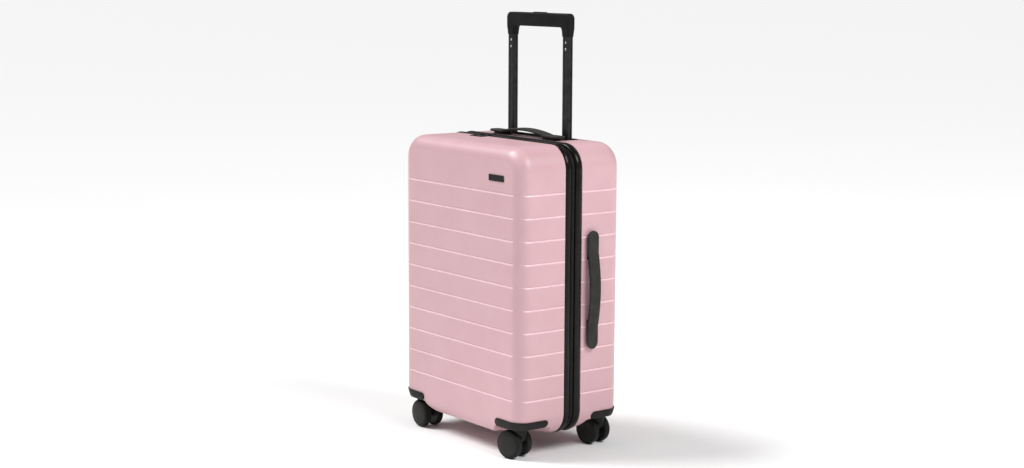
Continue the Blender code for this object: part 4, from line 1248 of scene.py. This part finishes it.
def build_badge():
    """A blank plate with a raised bright rim and a sunk dark field."""
    low, _, size, middle = span("badge")
    plate = add_piece("badge_plate", block(size, middle, "y", 1.5 * MM, 6), finishes()["zinc"])
    field = block((size.x - 1.6 * MM, 0.8 * MM, size.z - 1.6 * MM), (middle.x, low.y, middle.z),
                  "y", 1.0 * MM, 4)
    combine(plate, field)
    settle_soft(plate, 0.2 * MM)
    finish_piece(plate, "lid", ("badge",))
    inlay = block((size.x - 1.8 * MM, 0.3 * MM, size.z - 1.8 * MM), (middle.x, low.y + 0.35 * MM, middle.z),
                  "y", 0.9 * MM, 4)
    return finish_piece(add_piece("badge_field", inlay, finishes()["trim"]), "lid")


# ---------------------------------------------------------------- operators

class SUITCASE_OT_shells(bpy.types.Operator):
    """Builds the front and rear polycarbonate shells"""

    bl_idname = "suitcase.shells"
    bl_label = "Shells"

    def execute(self, context):
        for name, end in (("front_shell", -1), ("rear_shell", 1)):
            finish_piece(build_shell(name + "_skin", end), HALF_BODY[end], (name,))
        return {"FINISHED"}


class SUITCASE_OT_band(bpy.types.Operator):
    """Builds the glossy beads and the zip between them"""

    bl_idname = "suitcase.band"
    bl_label = "Beads and zip"

    def execute(self, context):
        for name, end in (("front", -1), ("rear", 1)):
            body = HALF_BODY[end]
            low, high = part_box(name + "_bead")
            band(name + "_bead_round", finishes()["trim"], bead_section(low.y, high.y), body,
                 (name + "_bead",))
            low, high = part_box(name + "_zip_tape")
            top, foot = tape_outset(), tape_outset() - 1.2 * MM
            section = [(low.y, foot), (low.y, top), (high.y, top), (high.y, foot)]
            band(name + "_tape_cloth", finishes()["tape"], section, body, (name + "_zip_tape",))
            zip_teeth(name + "_zip_teeth", end, body)
        return {"FINISHED"}


class SUITCASE_OT_zip_pulls(bpy.types.Operator):
    """Builds the zip's sliders and pull tabs"""

    bl_idname = "suitcase.zip_pulls"
    bl_label = "Zip sliders and pulls"

    def execute(self, context):
        for label in ("right", "left"):
            build_slider(label)
            build_pull(label)
        return {"FINISHED"}


def build_slider(label):
    """A die-cast slider: a rounded body, waisted at its nose."""
    node = "zip_slider_" + label
    low, high, size, middle = span(node)
    body = add_piece(node + "_cast", block(size, middle, "z", 2.5 * MM, 6), finishes()["zinc"])
    for side in (-1, 1):
        waist_x, waist_y = middle.x - 1 * MM, middle.y + side * (size.y / 2 + 3.1 * MM)
        waist = cylinder(4 * MM, (waist_x, waist_y, low.z - 1 * MM), (waist_x, waist_y, high.z + 1 * MM), 32)
        combine(body, waist)
    settle_soft(body, 0.7 * MM, 3)
    return finish_piece(body, "slider_" + label, (node,))


def build_pull(label):
    """A pull tab: a flat tongue with a hole at its tip and an eye at its other end."""
    node = "zip_pull_" + label
    low, high, size, middle = span(node)
    body = add_piece(node + "_tab", block(size, middle, "z", 3 * MM, 8), finishes()["zinc"])
    tip = (middle.x, low.y + 4.2 * MM)
    combine(body, cylinder(1.7 * MM, (*tip, low.z - 1 * MM), (*tip, high.z + 1 * MM), 24))
    eye = block((4.4 * MM, 1.6 * MM, 5 * MM), (middle.x, high.y - 2.2 * MM, middle.z), "z", 0.5 * MM)
    combine(body, eye)
    settle_soft(body, 0.3 * MM)
    return finish_piece(body, "pull_" + label, (node,))


class SUITCASE_OT_casters(bpy.types.Operator):
    """Builds the corner guards, forks and wheels, and finishes the axles"""

    bl_idname = "suitcase.casters"
    bl_label = "Guards and casters"

    def execute(self, context):
        for corner in CORNERS:
            build_guard(corner)
            build_fork(corner)
            for label in "ab":
                node = "wheel_" + label + "_" + corner
                build_wheel(label, corner, outer_direction(node, JOINTS["spin_" + label + "_" + corner]))
            frame["nodes"]["axle_" + corner].data.materials.clear()
            frame["nodes"]["axle_" + corner].data.materials.append(finishes()["steel"])
        return {"FINISHED"}


class SUITCASE_OT_trolley(bpy.types.Operator):
    """Builds the trolley's visible tubes, grip, button and screws, and finishes its inner gear"""

    bl_idname = "suitcase.trolley"
    bl_label = "Trolley"

    def execute(self, context):
        for side in SIDE_NAME.values():
            build_tube("inner_tube_" + side, "trolley_top", 1.7 * MM)
            build_tube("middle_tube_" + side, "trolley_middle", 1.2 * MM)
        build_grip()
        build_button()
        build_trolley_screws()
        inner = {"tube": ("outer_tube_left", "outer_tube_right"),
                 "plastic": ("trolley_bracket", "trolley_cup"),
                 "steel": ("push_rod_yoke", "locking_pin_left", "locking_pin_right")}
        for finish, nodes in inner.items():
            for node in nodes:
                frame["nodes"][node].data.materials.clear()
                frame["nodes"][node].data.materials.append(finishes()[finish])
        return {"FINISHED"}


class SUITCASE_OT_handles(bpy.types.Operator):
    """Builds the side and top carry handles and their mounts"""

    bl_idname = "suitcase.handles"
    bl_label = "Carry handles"

    def execute(self, context):
        for name, body in (("side_handle", "side_carry_handle"), ("top_handle", "top_carry_handle")):
            build_handle(name, body)
            for label in "ab":
                build_mount(name, label)
        return {"FINISHED"}


class SUITCASE_OT_lock(bpy.types.Operator):
    """Builds the dial lock and the badge"""

    bl_idname = "suitcase.lock"
    bl_label = "Lock and badge"

    def execute(self, context):
        build_lock()
        for number in (1, 2, 3):
            build_dial(number)
        build_lock_release()
        build_badge()
        return {"FINISHED"}


def build_lining(name, end):
    """A half's lining: polyester stretched over the inside, with soft slack and a bound edge."""
    low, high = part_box(name)
    inset = HALF_WIDTH - (high.x - low.x) / 2
    rim_y = high.y if end < 0 else low.y
    tray = add_piece(name + "_cloth", half_form(end, inset, rim_y), finishes()["lining"])
    for side in (-1, 1):
        combine(tray, pocket_form(side, end, inset))
    if end > 0:
        beyond = 0.2
        combine(tray, block((2 * HALF_WIDTH, beyond, 0.6), (CASE_X, high.y + beyond / 2, 0.3)))
    settle(tray)
    grid = tray.modifiers.new("cloth_grid", "REMESH")
    grid.mode = "VOXEL"
    grid.voxel_size = 4.5 * MM
    settle(tray)
    area = slacken(tray, rim_y)
    hem = tray.modifiers.new("cloth", "SOLIDIFY")
    hem.thickness = 0.9 * MM
    hem.offset = -1.0
    settle(tray, 60.0)
    finish_piece(tray, HALF_BODY[end], (name,))
    binding = band(name + "_binding", finishes()["webbing"],
                   [(rim_y, -inset), (rim_y - end * 1.2 * MM, 0.4 * MM - inset),
                    (rim_y - end * 1.4 * MM, -inset - 0.6 * MM),
                    (rim_y - end * 1.2 * MM, -inset - 1.6 * MM), (rim_y, -inset - 1.2 * MM)],
                   HALF_BODY[end], ())


def slacken(tray, rim_y):
    """Opens a lining at its rim and gives the cloth shallow folds; returns the cloth's area."""
    mesh = bmesh.new()
    mesh.from_mesh(tray.data)
    cap = [face for face in mesh.faces if abs(face.calc_center_median().y - rim_y) < 2.5 * MM
           and abs(face.normal.y) > 0.7]
    bmesh.ops.delete(mesh, geom=cap, context="FACES")
    inner = [vert for vert in mesh.verts if not vert.is_boundary]
    smoothing_rounds = 4
    for _ in range(smoothing_rounds):
        bmesh.ops.smooth_vert(mesh, verts=inner, factor=0.5,
                              use_axis_x=True, use_axis_y=True, use_axis_z=True)
    mesh.normal_update()
    moves = []
    for vert in mesh.verts:
        place = vert.co
        fade = smooth_step(abs(place.y - rim_y), 0, 14 * MM)
        creases = Vector((place.x * 70, place.y * 50, place.z * 16))
        slack = noise.noise(place * 22) * 0.6 + noise.noise(creases) * 0.4
        moves.append(-vert.normal * (0.9 + slack) * 1.3 * MM * fade)
    for vert, move in zip(mesh.verts, moves):
        vert.co += move
    area = sum(face.calc_area() for face in mesh.faces)
    mesh.to_mesh(tray.data)
    mesh.free()
    return area


def build_hinge_strip():
    """Woven strip that joins the halves inside the zip's end."""
    low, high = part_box("hinge_strip")
    hinge = Vector(JOINTS["lid_hinge"]["pos_m"])
    near, far = 2 * hinge.y - high.y + 3 * MM, high.y
    across, along = 30, 60
    mesh = bmesh.new()
    rows = []
    for step in range(along + 1):
        height = low.z + (high.z - low.z) * step / along
        row = []
        for place in range(across + 1):
            share = place / across
            y = near + (far - near) * share
            stitch = 0.25 * MM if abs(share - 0.12) < 0.02 or abs(share - 0.88) < 0.02 else 0.0
            row.append(mesh.verts.new(((low.x + high.x) / 2 + stitch, y, height)))
        rows.append(row)
    for below, above in zip(rows, rows[1:]):
        for place in range(across):
            mesh.faces.new((below[place], below[place + 1], above[place + 1], above[place]))
    strip = add_piece("hinge_strip_cloth", mesh, finishes()["webbing"])
    thick = strip.modifiers.new("cloth", "SOLIDIFY")
    thick.thickness = 0.8 * MM
    thick.offset = 0.0
    settle(strip, 60.0)
    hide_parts("hinge_strip")
    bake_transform(strip)
    return strip


def webbing_band(mesh, start, end, width, thickness, out):
    """A woven band between two points: thin edges, a fuller middle and a slight waver."""
    run = end - start
    side = run.cross(out).normalized()
    section = ((-0.5, 0.3), (-0.46, 0.5), (-0.2, 0.62), (0.2, 0.62), (0.46, 0.5), (0.5, 0.3),
               (0.5, -0.3), (0.46, -0.5), (0.2, -0.5), (-0.2, -0.5), (-0.46, -0.5), (-0.5, -0.3))
    steps = max(4, int(run.length / (8 * MM)))
    rings = []
    for step in range(steps + 1):
        place = start + run * step / steps
        waver = 0.35 * MM * noise.noise(place * 30)
        rings.append([mesh.verts.new(place + side * across * width + out * (lift * thickness + waver))
                      for across, lift in section])
    for near, far in zip(rings, rings[1:]):
        join_rows(mesh, near, far, len(section))
    mesh.faces.new(rings[0])
    mesh.faces.new(rings[-1])


def build_packing_straps():
    """Two upright bands and a cross band, with sewn boxes where they meet, and the buckle."""
    low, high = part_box("packing_straps")
    upright_x = (high.x - low.x) / 2 - 12.5 * MM
    y, middle_z = (low.y + high.y) / 2, (low.z + high.z) / 2
    width, thickness = 25 * MM, 1.2 * MM
    out = Vector((0, -1, 0))
    mesh = bmesh.new()
    reach = 7.5 * MM
    for side in (-1, 1):
        x = CASE_X + side * upright_x
        webbing_band(mesh, Vector((x, y, low.z - reach)), Vector((x, y, high.z + reach)),
                     width, thickness, out)
        for inset in (0.42, -0.42):
            for first, second in (((inset, -0.42), (inset, 0.42)), ((-0.42, inset), (0.42, inset))):
                ends = [Vector((x + a * width, y - 2.15 * MM, middle_z + b * width))
                        for a, b in (first, second)]
                merge(mesh, cylinder(0.3 * MM, ends[0], ends[1], 8))
    webbing_band(mesh, Vector((low.x, y - 1.35 * MM, middle_z)), Vector((high.x, y - 1.35 * MM, middle_z)),
                 width, thickness, out)
    bmesh.ops.recalc_face_normals(mesh, faces=mesh.faces)
    finish_piece(add_piece("packing_straps_webbing", mesh, finishes()["webbing"], 50.0), "case",
                 ("packing_straps",))
    low, high, size, middle = span("strap_buckle")
    body = add_piece("strap_buckle_moulding", block(size, middle, "y", 6 * MM, 6), finishes()["plastic"])
    for side in (-1, 1):
        window = block((6 * MM, 0.02, size.z * 0.5), (middle.x + side * size.x * 0.3, middle.y, middle.z),
                       "y", 2 * MM)
        combine(body, window)
        waist = cylinder(9 * MM, (middle.x, low.y - 1 * MM, middle.z + side * (size.z / 2 + 5.5 * MM)),
                         (middle.x, high.y + 1 * MM, middle.z + side * (size.z / 2 + 5.5 * MM)), 40)
        combine(body, waist)
    seam = block((0.7 * MM, 1.2 * MM, size.z), (middle.x, low.y, middle.z))
    combine(body, seam)
    settle_soft(body, 0.7 * MM, 3)
    finish_piece(body, "case", ("strap_buckle",))


class SUITCASE_OT_inside(bpy.types.Operator):
    """Builds the linings, the hinge strip and the packing straps"""

    bl_idname = "suitcase.inside"
    bl_label = "Inside"

    def execute(self, context):
        for name, end in (("front_lining", -1), ("rear_lining", 1)):
            build_lining(name, end)
        build_hinge_strip()
        build_packing_straps()
        return {"FINISHED"}


class SUITCASE_OT_stage(bpy.types.Operator):
    """Sets the floor, the studio light and the camera"""

    bl_idname = "suitcase.stage"
    bl_label = "Stage"

    def execute(self, context):
        build_floor()
        build_lights(context.scene)
        build_camera(context.scene)
        return {"FINISHED"}


def build_floor():
    """A wide white floor that runs out of view."""
    mesh = bmesh.new()
    bmesh.ops.create_grid(mesh, x_segments=1, y_segments=1, size=60.0)
    finish, _, shader = new_finish("white_studio_floor", 0.9)
    shader.inputs["Base Color"].default_value = linear("#FAFAFA")
    floor = add_piece("studio_floor", mesh, finish)
    floor.location.z = -0.2 * MM


def build_lights(scene):
    """Pale surroundings, a wide soft light from the front left and a soft box high on the right."""
    world = bpy.data.worlds.new("studio")
    world.use_nodes = True
    back = world.node_tree.nodes["Background"]
    back.inputs["Color"].default_value = (1, 1, 1, 1)
    back.inputs["Strength"].default_value = 0.26
    scene.world = world
    scene.view_settings.view_transform = "Standard"
    sky = bpy.data.lights.new("sky_light", "SUN")
    sky.angle = math.radians(30)
    sky.energy = 3.0
    hang_light(scene, "sky_light", sky, around(-48, 50, 3.0), (0, 0, 0))
    box = bpy.data.lights.new("side_box", "AREA")
    box.shape = "RECTANGLE"
    box.size, box.size_y = 1.8, 1.4
    box.energy = 78.0
    hang_light(scene, "side_box", box, around(104, 46, 3.6), (0, 0, 0.3))


def around(azimuth, elevation, distance):
    """A place round the case: azimuth 0 is in front of it, 90 to its right, in degrees."""
    turn, rise = math.radians(azimuth), math.radians(elevation)
    return (math.sin(turn) * math.cos(rise) * distance, -math.cos(turn) * math.cos(rise) * distance,
            math.sin(rise) * distance)


def hang_light(scene, name, light, place, target):
    """Hangs a light at a place, looking at a target."""
    lamp = bpy.data.objects.new(name, light)
    lamp.location = place
    lamp.rotation_euler = (Vector(target) - Vector(place)).to_track_quat("-Z", "Y").to_euler()
    scene.collection.objects.link(lamp)


def build_camera(scene):
    """A long lens to the right and front of the case, a little above its middle."""
    yaw, pitch, roll = math.radians(53.48), math.radians(8.26), math.radians(0.27)
    back = Vector((math.sin(yaw) * math.cos(pitch), -math.cos(yaw) * math.cos(pitch), math.sin(pitch)))
    right = Vector((math.cos(yaw), math.sin(yaw), 0))
    up = back.cross(right)
    camera_x = right * math.cos(roll) + up * math.sin(roll)
    camera_y = up * math.cos(roll) - right * math.sin(roll)
    lens = bpy.data.cameras.new("camera")
    lens.sensor_width = 36.0
    lens.lens = 64.69
    camera = bpy.data.objects.new("camera", lens)
    turn = Matrix((camera_x, camera_y, back)).transposed().to_4x4()
    camera.matrix_world = Matrix.Translation((CASE_X + 2.6841, -1.9827, 0.8592)) @ turn
    scene.collection.objects.link(camera)
    scene.camera = camera


# ---------------------------------------------------------------- panel and main

STEPS = (
    SUITCASE_OT_shells,
    SUITCASE_OT_band,
    SUITCASE_OT_zip_pulls,
    SUITCASE_OT_casters,
    SUITCASE_OT_trolley,
    SUITCASE_OT_handles,
    SUITCASE_OT_lock,
    SUITCASE_OT_inside,
    SUITCASE_OT_stage,
)


class SUITCASE_PT_panel(bpy.types.Panel):
    """Lists the suitcase's operators and settings"""

    bl_idname = "SUITCASE_PT_panel"
    bl_label = "Spinner suitcase"
    bl_space_type = "VIEW_3D"
    bl_region_type = "UI"
    bl_category = "Suitcase"

    def draw(self, context):
        layout = self.layout
        for group in (context.scene.suitcase_sizes, context.scene.suitcase_colours):
            for name in group.__annotations__:
                layout.prop(group, name)
        for step in STEPS:
            layout.operator(step.bl_idname)


CLASSES = (SuitcaseSizes, SuitcaseColours, *STEPS, SUITCASE_PT_panel)


def register():
    """Registers the classes and hangs the settings on the scene."""
    for made in CLASSES:
        bpy.utils.register_class(made)
    bpy.types.Scene.suitcase_sizes = bpy.props.PointerProperty(type=SuitcaseSizes)
    bpy.types.Scene.suitcase_colours = bpy.props.PointerProperty(type=SuitcaseColours)


def unregister():
    """Takes the settings and the classes away."""
    del bpy.types.Scene.suitcase_colours
    del bpy.types.Scene.suitcase_sizes
    for made in reversed(CLASSES):
        bpy.utils.unregister_class(made)


def main():
    """Builds every piece in order."""
    register()
    for step in STEPS:
        group, name = step.bl_idname.split(".")
        getattr(getattr(bpy.ops, group), name)()


if __name__ == "__main__":
    main()
